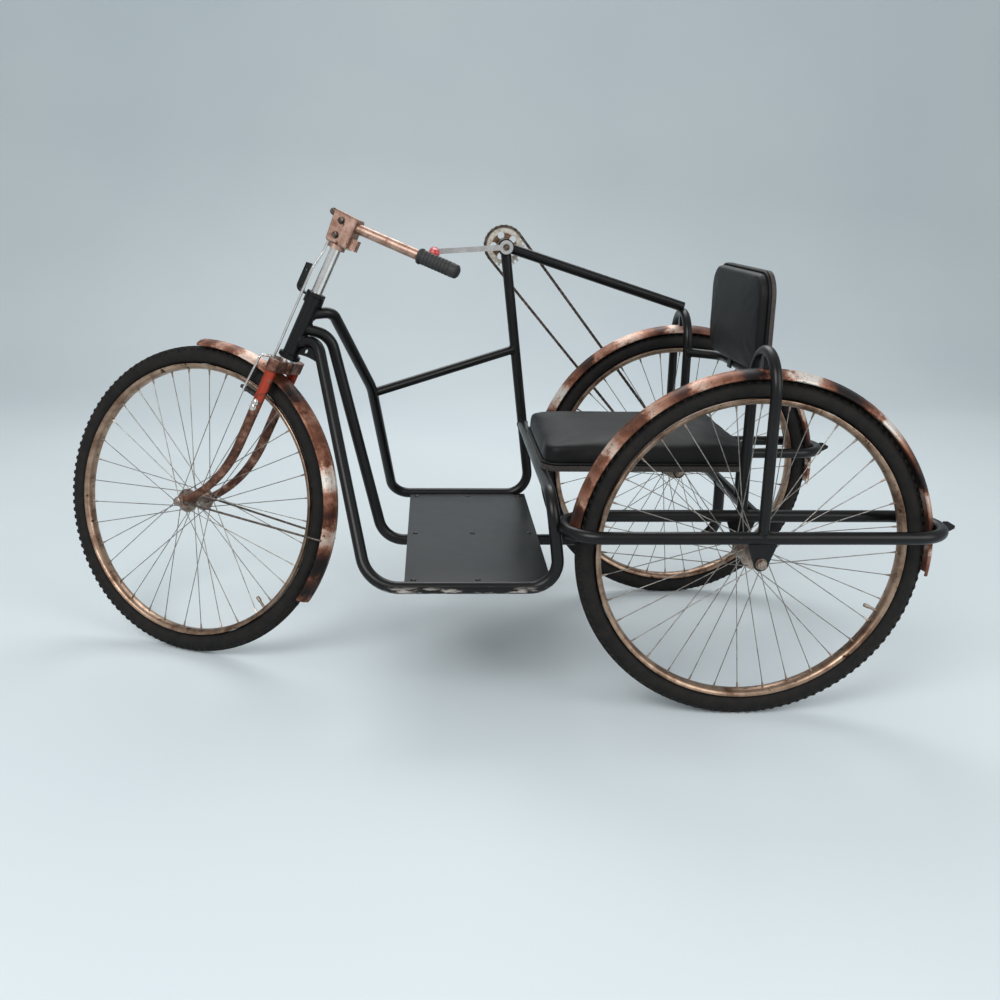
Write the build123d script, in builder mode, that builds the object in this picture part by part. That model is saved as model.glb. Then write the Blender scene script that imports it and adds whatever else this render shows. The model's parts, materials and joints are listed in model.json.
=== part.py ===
# Hand-cranked mobility tricycle: tube frame, three wire wheels, tiller steering and a chain drive.
# Millimetres. X points forward, Y to the rider's left, Z up; the origin is on the ground, midway between
# the points that stand under the middle of the rear axles.
from build123d import *
from math import acos, asin, atan2, cos, pi, radians, sin, sqrt
import os

os.makedirs("parts", exist_ok=True)

# Wheels
TYRE_RADIUS = 357.5
TYRE_WIDTH = 40.0
TREAD_WIDTH = 18.0
TYRE_SHOULDER_RADIUS = 344.0
BEAD_RADIUS = 317.5
BEAD_WIDTH = 26.0
RIM_WIDTH = 33.0
RIM_DEPTH = 13.0
RIM_WALL_RADIUS = 311.0
RIM_CROWN_WIDTH = 14.0
RIM_LIP_RISE = 4.0
SPOKE_COUNT = 36
SPOKE_RADIUS = 1.0
SPOKE_CROSSES = 3
FLANGE_RADIUS = 27.0
FLANGE_THICKNESS = 4.0
FLANGE_OFFSET = 30.0
SPOKE_HOLE_RADIUS = 22.0
SPOKE_HEAD_GAP = 1.2
SPOKE_RIM_OFFSET = 2.8
HUB_BARREL_RADIUS = 16.0
HUB_WAIST_RADIUS = 13.0
HUB_NOSE_WALL = 3.0
REAR_HUB_HALF = 42.0
FRONT_HUB_HALF = 38.0
AXLE_RADIUS = 5.0
AXLE_STAND_OUT = 14.0
COLLAR_RADIUS = 9.0

# Clearances
RUNNING_GAP = 0.1
WELD_GAP = 0.2
SEAT_GAP = 0.3

# Stance
TRACK = 715.0
WHEELBASE = 1205.0
HEAD_TILT = 25.0
FORK_RAKE = 75.0
PARKED_STEER = -27.0

# Frame tubes
TUBE_RADIUS = 12.7
HOOP_TUBE_RADIUS = 11.0
HEAD_TUBE_RADIUS = 18.0
STEM_RADIUS = 12.7
LOOP_HEIGHT = 410.0
LOOP_HALF_WIDTH = 75.0
PLATE_STEEL = 5.0
PLATE_TOP_HALF = 34.0
PLATE_END_RADIUS = 15.0
HOOP_TOP = 765.0
FOOT_HEIGHT = 280.0
SIDE_TUBE_BEND = 80.0
RIGHT_TUBE_BEND = 50.0
BACKBONE_BEND = 60.0
RISER_BEND = 55.0
RISER_FOOT_X = 384.0
LOW_SOCKET_HEIGHT = 440.0
MIDDLE_SOCKET_HEIGHT = 479.0
HIGH_SOCKET_HEIGHT = 512.0
LEFT_KNEE_BACK = 53.0
LEFT_KNEE_OUT = 25.0
LEFT_KNEE_UP = 12.0
LEFT_KNEE_BEND = 40.0
RIGHT_KNEE_BACK = 53.0
RIGHT_KNEE_OUT = 18.0
RIGHT_KNEE_UP = 4.0
RIGHT_KNEE_BEND = 30.0
SPLAY_BACK = 76.0
SPLAY_OUT = 162.0
SPLAY_DOWN = 198.0
SPLAY_BEND = 150.0
BACKBONE_KNEE_BACK = 63.0
BACKBONE_KNEE_DOWN = 16.0
BACKBONE_KNEE_BEND = 50.0
LEFT_FOOT_AHEAD = 73.0
RIGHT_FOOT_AHEAD = 46.0
BACKBONE_FOOT_AHEAD = 55.0
GUSSET_STEEL = 4.0
GUSSET_HEAD_HEIGHT = 416.0
GUSSET_REACH = 70.0
GUSSET_SAG = 8.0
GUSSET_HOLE_RADIUS = 5.0
BRACE_DROP = 17.0
BRACE_REAR_HEIGHT = 667.0
CROSS_TUBE_X = -30.0
SEAT_BAR_HEIGHT = 470.0

# Foot board
BOARD_THICKNESS = 3.0
BOARD_FRONT_X = 702.0
BOARD_REAR_X = 398.0

# Mudguards
GUARD_INNER_RADIUS = 371.0
GUARD_THICKNESS = 1.5
GUARD_WIDTH = 56.0
GUARD_CROWN_WIDTH = 26.0
GUARD_EDGE_DROP = 9.0
REAR_GUARD_FROM = 7.0
REAR_GUARD_TO = 187.0
FRONT_GUARD_FROM = 92.0
FRONT_GUARD_TO = 214.0
GUARD_CLIP_WIDTH = 16.0
STAY_RADIUS = 2.5
STAY_ANGLE = 190.0
STAY_STAND_OUT = 6.0

# Head and fork, measured along the steering axis from the foot of the front hub
CROWN_HEIGHT = 385.0
CROWN_THICKNESS = 28.0
CROWN_WALL = 4.0
CROWN_EDGE = 3.0
HEAD_LOWER = 405.0
HEAD_UPPER = 550.0
CUP_RADIUS = 22.0
CUP_HEIGHT = 12.0
FORK_HALF_WIDTH = 46.0
BLADE_RADIUS = 11.0
BLADE_END_RADIUS = 7.5
BLADE_CURVE = 190.0
TIP_RADIUS = 14.0
TIP_THICKNESS = 6.0
CLAMP_LOWER = 668.0
CLAMP_UPPER = 746.0
CLAMP_RADIUS = 19.0
CLAMP_BLOCK_LOWER = 678.0
CLAMP_HALF_WIDTH = 19.0
CLAMP_REAR = 30.0
CLAMP_TOP_FRONT = 32.0
CLAMP_BOTTOM_FRONT = 25.0
CLAMP_EDGE = 3.0
CLAMP_LUG_RADIUS = 8.0
CLAMP_LUG_AHEAD = 36.0
CLAMP_EAR_REACH = 16.0
CLAMP_EAR_HEIGHT = 24.0
CLAMP_EAR_WIDTH = 14.0
TILLER_HEIGHT = 726.0
TILLER_REACH = 287.0
TILLER_RISE = 18.0
TILLER_RADIUS = 11.0
GRIP_RADIUS = 16.0
GRIP_LENGTH = 97.0
GRIP_END_WALL = 5.0
BRAKE_ROD_RADIUS = 3.0
BRAKE_ROD_TURN = 36.0
BRAKE_ROD_CLEAR = 5.5
BRAKE_ROD_BEND = 40.0
BRAKE_ROD_KNEE = 60.0
BRAKE_ROD_NECK = 15.0
BRAKE_TAB_WIDTH = 8.0
LAMP_STRIP_THICKNESS = 4.0
LAMP_STRIP_WIDTH = 22.0
LAMP_STRIP_REACH = 34.0
LAMP_STRIP_RISE = 62.0
LAMP_HOLE_RADIUS = 4.0
LAMP_HOLE_RISE = 46.0
LAMP_STRIP_BEND = 12.0
LAMP_RING_WALL = 9.0

# Crank and chain
CRANK_X = 462.0
CRANK_HEIGHT = 924.0
SHELL_RADIUS = 20.0
SHELL_HALF = 35.5
CRANK_AXLE_RADIUS = 8.0
CRANK_LENGTH = 179.0
CRANK_ANGLE = -4.0
CRANK_AXLE_END = 6.0
ARM_THICKNESS = 12.0
ARM_WIDTH = 13.0
ARM_BOSS_RADIUS = 17.0
ARM_EYE_RADIUS = 11.0
HANDLE_PIN_RADIUS = 5.0
HANDLE_EDGE = 3.0
HANDLE_RADIUS = 14.0
HANDLE_LENGTH = 95.0
CHAIN_PITCH = 12.7
CHAINWHEEL_TEETH = 24
SPROCKET_TEETH = 16
CHAIN_OFFSET = 43.0
SPROCKET_THICKNESS = 3.0
CHAINWHEEL_HOLES = 5
CHAINWHEEL_HOLE_RADIUS = 8.5
CHAINWHEEL_HOLE_REACH = 27.0
PLATE_HEIGHT = 8.4
PLATE_THICKNESS = 1.3
PLATE_INNER_GAP = 4.6
FREEWHEEL_RADIUS = 17.0
FREEWHEEL_LIP = 4.0
FREEWHEEL_INNER_GAP = 2.0

# Seat and backrest
SEAT_HALF_WIDTH = 200.0
SEAT_FRONT_X = 412.0
SEAT_REAR_X = -45.0
SEAT_BOARD_THICKNESS = 12.0
CUSHION_THICKNESS = 55.0
CUSHION_CORNER = 40.0
SEAT_POST_RADIUS = 9.5
SEAT_POST_Y = 150.0
BACK_HALF_WIDTH = 200.0
BACK_BOTTOM = 690.0
BACK_TOP = 903.0
BACK_CORNER = 55.0
BACK_PAD_THICKNESS = 30.0
BACK_FRONT_X = -20.0
BACK_BOARD_THICKNESS = 9.0
BACK_RAIL_HEIGHT = 672.0
BACK_RAIL_BEND = 60.0
BACK_RAIL_SPLAY = 60.0
STRAP_WIDTH = 26.0
STRAP_THICKNESS = 4.0
STRAP_Y = 110.0
STRAP_TOP_DROP = 40.0

# Worked-out places
HALF_TRACK = TRACK / 2
AXLE_HEIGHT = TYRE_RADIUS
TREAD_HALF = TREAD_WIDTH / 2
TILT = radians(HEAD_TILT)
STEER = radians(PARKED_STEER)
AXIS = Vector(-sin(TILT), 0, cos(TILT))
AHEAD = Vector(cos(TILT), 0, sin(TILT))
LEAN = asin(abs(sin(STEER)) * sin(TILT))
FRONT_HUB_HEIGHT = TYRE_RADIUS * cos(LEAN) + TREAD_HALF * sin(LEAN)
STEER_FOOT = Vector(
    WHEELBASE - FORK_RAKE * cos(TILT),
    0,
    FRONT_HUB_HEIGHT - FORK_RAKE * cos(STEER) * sin(TILT),
)
HEADING = AHEAD * cos(STEER) + Vector(0, 1, 0) * sin(STEER)
FORK = Plane(origin=STEER_FOOT, x_dir=HEADING, z_dir=AXIS).location
HEAD = Plane(origin=STEER_FOOT, x_dir=AHEAD, z_dir=AXIS).location
FRONT_WHEEL = FORK * Location((FORK_RAKE, 0, 0))
LEFT_WHEEL = Location((0, HALF_TRACK, AXLE_HEIGHT))
RIGHT_WHEEL = Location((0, -HALF_TRACK, AXLE_HEIGHT))
FREEWHEEL_END = CHAIN_OFFSET + SPROCKET_THICKNESS / 2 + FREEWHEEL_LIP
GUARD_OUTER_RADIUS = GUARD_INNER_RADIUS + GUARD_THICKNESS
CHAIN_Y = -HALF_TRACK - CHAIN_OFFSET
CHAINWHEEL_PITCH_RADIUS = CHAIN_PITCH / (2 * sin(pi / CHAINWHEEL_TEETH))
SPROCKET_PITCH_RADIUS = CHAIN_PITCH / (2 * sin(pi / SPROCKET_TEETH))
GUARD_AT_LOOP = sqrt(GUARD_OUTER_RADIUS**2 - (LOOP_HEIGHT - AXLE_HEIGHT) ** 2)
LOOP_END_DEPTH = sqrt((LOOP_HALF_WIDTH - TUBE_RADIUS) ** 2 - (GUARD_CROWN_WIDTH / 2) ** 2)
LOOP_REACH = GUARD_AT_LOOP + SEAT_GAP + LOOP_HALF_WIDTH - LOOP_END_DEPTH
SEAT_UNDERSIDE = SEAT_BAR_HEIGHT + TUBE_RADIUS + SEAT_GAP


def on_axis(height):
    """A point on the steering axis, a height above the foot of the front hub."""
    return STEER_FOOT + AXIS * height


def keep(piece, node):
    """Label a finished piece and write it."""
    piece.part.label = node
    export_step(piece.part, f"parts/{node}.step")


def bent_tube(corners, bends, radius):
    """A round tube along straight runs joined by bends."""
    with BuildPart() as tube:
        with BuildLine() as route:
            if bends:
                FilletPolyline(*corners, radius=bends)
            else:
                Polyline(*corners)
        with BuildSketch(Plane(origin=route.line @ 0, z_dir=route.line % 0)):
            Circle(radius)
        sweep(path=route.wires()[0])
    return tube.part


def wheel_loop(side, radius):
    """The long closed loop of tube that carries a rear wheel between its two legs."""
    middle = side * HALF_TRACK
    inner = middle - LOOP_HALF_WIDTH
    outer = middle + LOOP_HALF_WIDTH
    end = LOOP_REACH - LOOP_HALF_WIDTH
    with BuildPart() as loop:
        with BuildLine(Plane.XY.offset(LOOP_HEIGHT)) as route:
            Line((-end, inner), (end, inner))
            ThreePointArc((end, inner), (LOOP_REACH, middle), (end, outer))
            Line((end, outer), (-end, outer))
            ThreePointArc((-end, outer), (-LOOP_REACH, middle), (-end, inner))
        with BuildSketch(Plane(origin=(0, inner, LOOP_HEIGHT), z_dir=(1, 0, 0))):
            Circle(radius)
        sweep(path=route.wires()[0])
    return loop.part


def hoop(side, radius):
    """The upright hoop over a rear wheel, standing on both legs of its loop."""
    middle = side * HALF_TRACK
    spring = HOOP_TOP - LOOP_HALF_WIDTH
    with BuildPart() as arch:
        with BuildLine(Plane.YZ) as route:
            Line((middle - LOOP_HALF_WIDTH, LOOP_HEIGHT), (middle - LOOP_HALF_WIDTH, spring))
            ThreePointArc(
                (middle - LOOP_HALF_WIDTH, spring),
                (middle, HOOP_TOP),
                (middle + LOOP_HALF_WIDTH, spring),
            )
            Line((middle + LOOP_HALF_WIDTH, spring), (middle + LOOP_HALF_WIDTH, LOOP_HEIGHT))
        with BuildSketch(Plane(origin=route.line @ 0, z_dir=(0, 0, 1))):
            Circle(radius)
        sweep(path=route.wires()[0])
    return arch.part


def tyre():
    """Tyre about the Y axis, with a flat tread, shoulders and side walls."""
    with BuildPart() as form:
        with BuildSketch():
            with BuildLine():
                Polyline(
                    (BEAD_RADIUS + SEAT_GAP, -BEAD_WIDTH / 2),
                    (TYRE_SHOULDER_RADIUS, -TYRE_WIDTH / 2),
                    (TYRE_RADIUS, -TREAD_HALF),
                    (TYRE_RADIUS, TREAD_HALF),
                    (TYRE_SHOULDER_RADIUS, TYRE_WIDTH / 2),
                    (BEAD_RADIUS + SEAT_GAP, BEAD_WIDTH / 2),
                    close=True,
                )
            make_face()
        revolve(axis=Axis.Y)
    return form.part


def rim():
    """Rim about the Y axis: lips round the tyre's beads and a narrower crown where the spokes enter."""
    crown = BEAD_RADIUS - RIM_DEPTH
    lip_top = BEAD_RADIUS + RIM_LIP_RISE
    wall_slope = (TYRE_WIDTH - BEAD_WIDTH) / 2 / (TYRE_SHOULDER_RADIUS - BEAD_RADIUS)
    lip_inside = BEAD_WIDTH / 2 + wall_slope * RIM_LIP_RISE + SEAT_GAP
    with BuildPart() as form:
        with BuildSketch():
            with BuildLine():
                Polyline(
                    (BEAD_RADIUS, -lip_inside),
                    (BEAD_RADIUS, lip_inside),
                    (lip_top, lip_inside),
                    (lip_top, RIM_WIDTH / 2),
                    (RIM_WALL_RADIUS, RIM_WIDTH / 2),
                    (crown, RIM_CROWN_WIDTH / 2),
                    (crown, -RIM_CROWN_WIDTH / 2),
                    (RIM_WALL_RADIUS, -RIM_WIDTH / 2),
                    (lip_top, -RIM_WIDTH / 2),
                    (lip_top, -lip_inside),
                    close=True,
                )
            make_face()
        revolve(axis=Axis.Y)
    return form.part


def spokes():
    """Tangent spokes about the Y axis, each flange's half leading and half trailing."""
    step = 360 / SPOKE_COUNT
    lean = SPOKE_CROSSES * 2 * step
    rim_end = BEAD_RADIUS - RIM_DEPTH - SEAT_GAP
    outside = FLANGE_THICKNESS / 2 + SPOKE_RADIUS + SPOKE_HEAD_GAP
    inside = FLANGE_THICKNESS / 2 + SPOKE_RADIUS + SEAT_GAP
    with BuildPart() as form:
        for index in range(SPOKE_COUNT):
            side = 1 if index % 2 == 0 else -1
            leading = index % 4 < 2
            turn = index * step
            hub_turn = turn - lean if leading else turn + lean
            hub_y = side * (FLANGE_OFFSET + (outside if leading else -inside))
            start = Vector(
                SPOKE_HOLE_RADIUS * cos(radians(hub_turn)),
                hub_y,
                SPOKE_HOLE_RADIUS * sin(radians(hub_turn)),
            )
            end = Vector(
                rim_end * cos(radians(turn)),
                side * SPOKE_RIM_OFFSET,
                rim_end * sin(radians(turn)),
            )
            with Locations(Plane(origin=start, z_dir=end - start).location):
                Cylinder(SPOKE_RADIUS, (end - start).length, align=(Align.CENTER, Align.CENTER, Align.MIN))
    return form.part


def hub(half, freewheel_side=0):
    """Hub shell about the Y axis, with two spoke flanges and, on a driven wheel, a freewheel seat."""
    inner = FLANGE_OFFSET - FLANGE_THICKNESS / 2
    outer = FLANGE_OFFSET + FLANGE_THICKNESS / 2
    bore = AXLE_RADIUS + RUNNING_GAP
    nose = COLLAR_RADIUS + HUB_NOSE_WALL
    shoulder = inner - FLANGE_THICKNESS
    with BuildPart() as form:
        with BuildSketch():
            with BuildLine():
                Polyline(
                    (bore, -half),
                    (nose, -half),
                    (nose, -outer),
                    (FLANGE_RADIUS, -outer),
                    (FLANGE_RADIUS, -inner),
                    (HUB_BARREL_RADIUS, -inner),
                    (HUB_BARREL_RADIUS, -shoulder),
                    (HUB_WAIST_RADIUS, 0),
                    (HUB_BARREL_RADIUS, shoulder),
                    (HUB_BARREL_RADIUS, inner),
                    (FLANGE_RADIUS, inner),
                    (FLANGE_RADIUS, outer),
                    (nose, outer),
                    (nose, half),
                    (bore, half),
                    close=True,
                )
            make_face()
        revolve(axis=Axis.Y)
        if freewheel_side:
            seat_start = outer + FREEWHEEL_INNER_GAP
            with BuildSketch(Plane.XZ.offset(-freewheel_side * seat_start)):
                Circle(FREEWHEEL_RADIUS)
                Circle(bore, mode=Mode.SUBTRACT)
            extrude(amount=-freewheel_side * (FREEWHEEL_END - seat_start))
    return form.part


def toothed_disc(teeth, pitch_radius, bore):
    """Chain sprocket about the Y axis, its teeth cut by the chain's rollers."""
    tip = pitch_radius + CHAIN_PITCH * 0.27
    with BuildPart() as form:
        with BuildSketch(Plane.XZ):
            Circle(tip)
            with PolarLocations(pitch_radius, teeth, start_angle=180 / teeth):
                Circle(CHAIN_PITCH * 0.31, mode=Mode.SUBTRACT)
            Circle(bore, mode=Mode.SUBTRACT)
        extrude(amount=SPROCKET_THICKNESS / 2, both=True)
    return form.part


def mudguard(start, end):
    """Mudguard about the Y axis, a thin crowned strip from one angle above forward to another."""
    half = GUARD_WIDTH / 2
    crown = GUARD_CROWN_WIDTH / 2
    edge = GUARD_INNER_RADIUS - GUARD_EDGE_DROP
    with BuildPart() as form:
        with BuildSketch(Plane.XY.rotated((0, -start, 0))):
            with BuildLine():
                Polyline(
                    (edge, -half),
                    (GUARD_INNER_RADIUS, -crown),
                    (GUARD_INNER_RADIUS, crown),
                    (edge, half),
                    (edge + GUARD_THICKNESS, half),
                    (GUARD_OUTER_RADIUS, crown),
                    (GUARD_OUTER_RADIUS, -crown),
                    (edge + GUARD_THICKNESS, -half),
                    close=True,
                )
            make_face()
        revolve(axis=-Axis.Y, revolution_arc=end - start)
    return form.part


def placed(form, location):
    """A form moved to its place on the tricycle."""
    with BuildPart() as piece:
        with Locations(location):
            add(form)
    return piece


def coped(form, *mains):
    """A tube with its ends cut to sit against the tubes that it is welded to."""
    with BuildPart() as piece:
        add(form)
        for main in mains:
            add(main, mode=Mode.SUBTRACT)
    return piece


# Routes of the bent frame tubes
BACKBONE_HEIGHT = FOOT_HEIGHT - TUBE_RADIUS - BOARD_THICKNESS / 2 - WELD_GAP
RISER_SLOPE = (CRANK_X - RISER_FOOT_X) / (CRANK_HEIGHT - FOOT_HEIGHT)
SEAT_BAR_X = RISER_FOOT_X + RISER_SLOPE * (SEAT_BAR_HEIGHT - FOOT_HEIGHT)
LOW_SOCKET = on_axis(LOW_SOCKET_HEIGHT)
MIDDLE_SOCKET = on_axis(MIDDLE_SOCKET_HEIGHT)
HIGH_SOCKET = on_axis(HIGH_SOCKET_HEIGHT)
RIGHT_KNEE = HIGH_SOCKET + Vector(-RIGHT_KNEE_BACK, -RIGHT_KNEE_OUT, RIGHT_KNEE_UP)
SPLAY_CORNER = RIGHT_KNEE + Vector(-SPLAY_BACK, -SPLAY_OUT, -SPLAY_DOWN)
LEFT_CORNERS = [
    LOW_SOCKET,
    LOW_SOCKET + Vector(-LEFT_KNEE_BACK, LEFT_KNEE_OUT, LEFT_KNEE_UP),
    Vector(BOARD_FRONT_X + LEFT_FOOT_AHEAD, HALF_TRACK, FOOT_HEIGHT),
    Vector(RISER_FOOT_X, HALF_TRACK, FOOT_HEIGHT),
    Vector(SEAT_BAR_X, HALF_TRACK, SEAT_BAR_HEIGHT),
    Vector(SEAT_BAR_X, -HALF_TRACK, SEAT_BAR_HEIGHT),
]
LEFT_BENDS = [LEFT_KNEE_BEND, SIDE_TUBE_BEND, RISER_BEND, RISER_BEND]
RIGHT_CORNERS = [
    HIGH_SOCKET,
    RIGHT_KNEE,
    SPLAY_CORNER,
    Vector(BOARD_FRONT_X + RIGHT_FOOT_AHEAD, -HALF_TRACK, FOOT_HEIGHT),
    Vector(RISER_FOOT_X, -HALF_TRACK, FOOT_HEIGHT),
    Vector(CRANK_X, -HALF_TRACK, CRANK_HEIGHT),
]
RIGHT_BENDS = [RIGHT_KNEE_BEND, SPLAY_BEND, RIGHT_TUBE_BEND, RISER_BEND]
BACKBONE_CORNERS = [
    MIDDLE_SOCKET,
    MIDDLE_SOCKET + Vector(-BACKBONE_KNEE_BACK, 0, -BACKBONE_KNEE_DOWN),
    Vector(BOARD_FRONT_X + BACKBONE_FOOT_AHEAD, 0, BACKBONE_HEIGHT),
    Vector(CROSS_TUBE_X, 0, BACKBONE_HEIGHT),
    Vector(CROSS_TUBE_X, 0, LOOP_HEIGHT),
]
BACKBONE_BENDS = [BACKBONE_KNEE_BEND, BACKBONE_BEND, BACKBONE_BEND]

# Enlarged copies that the other tubes' ends are cut by
head_cutter = Location(HEAD.position, HEAD.orientation) * Cylinder(
    HEAD_TUBE_RADIUS + WELD_GAP, 2 * HEAD_UPPER, align=Align.CENTER
)
left_tube_cutter = bent_tube(LEFT_CORNERS, LEFT_BENDS, TUBE_RADIUS + WELD_GAP)
right_tube_cutter = bent_tube(RIGHT_CORNERS, RIGHT_BENDS, TUBE_RADIUS + WELD_GAP)
left_loop_cutter = wheel_loop(1, TUBE_RADIUS + WELD_GAP)
right_loop_cutter = wheel_loop(-1, TUBE_RADIUS + WELD_GAP)
left_hoop_cutter = hoop(1, HOOP_TUBE_RADIUS + WELD_GAP)
right_hoop_cutter = hoop(-1, HOOP_TUBE_RADIUS + WELD_GAP)
shell_cutter = Location((CRANK_X, -HALF_TRACK, CRANK_HEIGHT), (90, 0, 0)) * Cylinder(
    SHELL_RADIUS + WELD_GAP, 2 * SHELL_HALF
)
cross_tube_cutter = bent_tube(
    [Vector(CROSS_TUBE_X, -HALF_TRACK, LOOP_HEIGHT), Vector(CROSS_TUBE_X, HALF_TRACK, LOOP_HEIGHT)],
    None,
    TUBE_RADIUS + WELD_GAP,
)

# Head tube with its two bearing cups
with BuildPart() as head_form:
    with BuildSketch(Plane.XZ):
        with BuildLine():
            Polyline(
                (STEM_RADIUS + RUNNING_GAP, HEAD_LOWER),
                (CUP_RADIUS, HEAD_LOWER),
                (CUP_RADIUS, HEAD_LOWER + CUP_HEIGHT),
                (HEAD_TUBE_RADIUS, HEAD_LOWER + CUP_HEIGHT),
                (HEAD_TUBE_RADIUS, HEAD_UPPER - CUP_HEIGHT),
                (CUP_RADIUS, HEAD_UPPER - CUP_HEIGHT),
                (CUP_RADIUS, HEAD_UPPER),
                (STEM_RADIUS + RUNNING_GAP, HEAD_UPPER),
                close=True,
            )
        make_face()
    revolve(axis=Axis.Z)
head_tube = placed(head_form.part, HEAD)
keep(head_tube, "head_tube")

# Three bent tubes from the head: one down each side of the foot board and one down the middle
left_side_tube = coped(
    bent_tube(LEFT_CORNERS, LEFT_BENDS, TUBE_RADIUS), head_cutter, right_tube_cutter
)
keep(left_side_tube, "left_side_tube")
right_side_tube = coped(
    bent_tube(RIGHT_CORNERS, RIGHT_BENDS, TUBE_RADIUS), head_cutter, shell_cutter
)
keep(right_side_tube, "right_side_tube")
backbone_tube = coped(
    bent_tube(BACKBONE_CORNERS, BACKBONE_BENDS, TUBE_RADIUS), head_cutter, cross_tube_cutter
)
keep(backbone_tube, "backbone_tube")

# Gusset between the foot of the head tube and the left side tube, with an arched edge and a drain hole
gusset_head = on_axis(GUSSET_HEAD_HEIGHT)
gusset_tube = LEFT_CORNERS[1] + (LEFT_CORNERS[2] - LEFT_CORNERS[1]).normalized() * GUSSET_REACH
gusset_edge = gusset_tube - gusset_head
gusset_face = gusset_edge.cross(LEFT_CORNERS[1] - gusset_head).normalized()
gusset_foot = gusset_head - gusset_face * GUSSET_STEEL / 2
gusset_plane = Plane(origin=gusset_foot, x_dir=gusset_edge, z_dir=gusset_face)
knee_spot = gusset_plane.to_local_coords(LEFT_CORNERS[1])
socket_spot = gusset_plane.to_local_coords(LOW_SOCKET)
hole_x = (gusset_edge.length + knee_spot.X + socket_spot.X) / 4
hole_y = (knee_spot.Y + socket_spot.Y) / 4
with BuildPart() as gusset_form:
    with BuildSketch(gusset_plane):
        with BuildLine():
            ThreePointArc((0, 0), (gusset_edge.length / 2, GUSSET_SAG), (gusset_edge.length, 0))
            Polyline(
                (gusset_edge.length, 0),
                (knee_spot.X, knee_spot.Y),
                (socket_spot.X, socket_spot.Y),
                (0, 0),
            )
        make_face()
        with Locations((hole_x, hole_y)):
            Circle(GUSSET_HOLE_RADIUS, mode=Mode.SUBTRACT)
    extrude(amount=GUSSET_STEEL)
head_gusset = coped(gusset_form.part, head_cutter, left_tube_cutter)
keep(head_gusset, "head_gusset")

# Foot board, welded between the side tubes and resting on the middle one
with BuildPart() as foot_board:
    with BuildSketch(Plane.XY.offset(FOOT_HEIGHT - BOARD_THICKNESS / 2)):
        with Locations(((BOARD_FRONT_X + BOARD_REAR_X) / 2, 0)):
            Rectangle(BOARD_FRONT_X - BOARD_REAR_X, TRACK - 2 * (TUBE_RADIUS + WELD_GAP))
    extrude(amount=BOARD_THICKNESS)
keep(foot_board, "foot_board")

# Brace between the front run of the right side tube and its crank post
splay_way = (RIGHT_CORNERS[3] - SPLAY_CORNER).normalized()
brace_front = SPLAY_CORNER + splay_way * BRACE_DROP
brace_rear_x = RISER_FOOT_X + RISER_SLOPE * (BRACE_REAR_HEIGHT - FOOT_HEIGHT)
brace_rear = Vector(brace_rear_x, -HALF_TRACK, BRACE_REAR_HEIGHT)
side_brace = coped(bent_tube([brace_front, brace_rear], None, HOOP_TUBE_RADIUS), right_tube_cutter)
keep(side_brace, "side_brace")

# Crank shell at the top of the post, and the arm rail back to the right hoop
with BuildPart() as crank_shell:
    with Locations(Location((CRANK_X, -HALF_TRACK, CRANK_HEIGHT), (90, 0, 0))):
        Cylinder(SHELL_RADIUS, 2 * SHELL_HALF)
        Cylinder(CRANK_AXLE_RADIUS + RUNNING_GAP, 2 * SHELL_HALF, mode=Mode.SUBTRACT)
keep(crank_shell, "crank_shell")
arm_rail = coped(
    bent_tube(
        [Vector(CRANK_X, -HALF_TRACK, CRANK_HEIGHT), Vector(0, -HALF_TRACK, HOOP_TOP + TUBE_RADIUS)],
        None,
        TUBE_RADIUS,
    ),
    shell_cutter,
    right_tube_cutter,
    right_hoop_cutter,
)
keep(arm_rail, "arm_rail")

# Wheel loops, hoops and the tube across between the loops
left_wheel_loop = coped(wheel_loop(1, TUBE_RADIUS), left_tube_cutter)
keep(left_wheel_loop, "left_wheel_loop")
right_wheel_loop = coped(wheel_loop(-1, TUBE_RADIUS), right_tube_cutter)
keep(right_wheel_loop, "right_wheel_loop")
left_hoop = coped(hoop(1, HOOP_TUBE_RADIUS), left_loop_cutter)
keep(left_hoop, "left_hoop")
right_hoop = coped(hoop(-1, HOOP_TUBE_RADIUS), right_loop_cutter)
keep(right_hoop, "right_hoop")
inner_leg_y = HALF_TRACK - LOOP_HALF_WIDTH
rear_cross_tube = coped(
    bent_tube(
        [Vector(CROSS_TUBE_X, -inner_leg_y, LOOP_HEIGHT), Vector(CROSS_TUBE_X, inner_leg_y, LOOP_HEIGHT)],
        None,
        TUBE_RADIUS,
    ),
    left_loop_cutter,
    right_loop_cutter,
)
keep(rear_cross_tube, "rear_cross_tube")

# Axle plates, hung under both legs of each loop
with BuildPart() as plates_form:
    for side in (1, -1):
        for leg in (1, -1):
            plate_y = side * HALF_TRACK + leg * LOOP_HALF_WIDTH
            with BuildSketch(Plane.XZ.offset(-plate_y - PLATE_STEEL / 2)):
                with Locations((0, AXLE_HEIGHT)):
                    Circle(PLATE_END_RADIUS)
                with BuildLine():
                    Polyline(
                        (-PLATE_END_RADIUS, AXLE_HEIGHT),
                        (PLATE_END_RADIUS, AXLE_HEIGHT),
                        (PLATE_TOP_HALF, LOOP_HEIGHT),
                        (-PLATE_TOP_HALF, LOOP_HEIGHT),
                        close=True,
                    )
                make_face()
                with Locations((0, AXLE_HEIGHT)):
                    Circle(AXLE_RADIUS + WELD_GAP, mode=Mode.SUBTRACT)
            extrude(amount=PLATE_STEEL)
axle_plates = coped(plates_form.part, left_loop_cutter, right_loop_cutter)
keep(axle_plates, "axle_plates")


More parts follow.
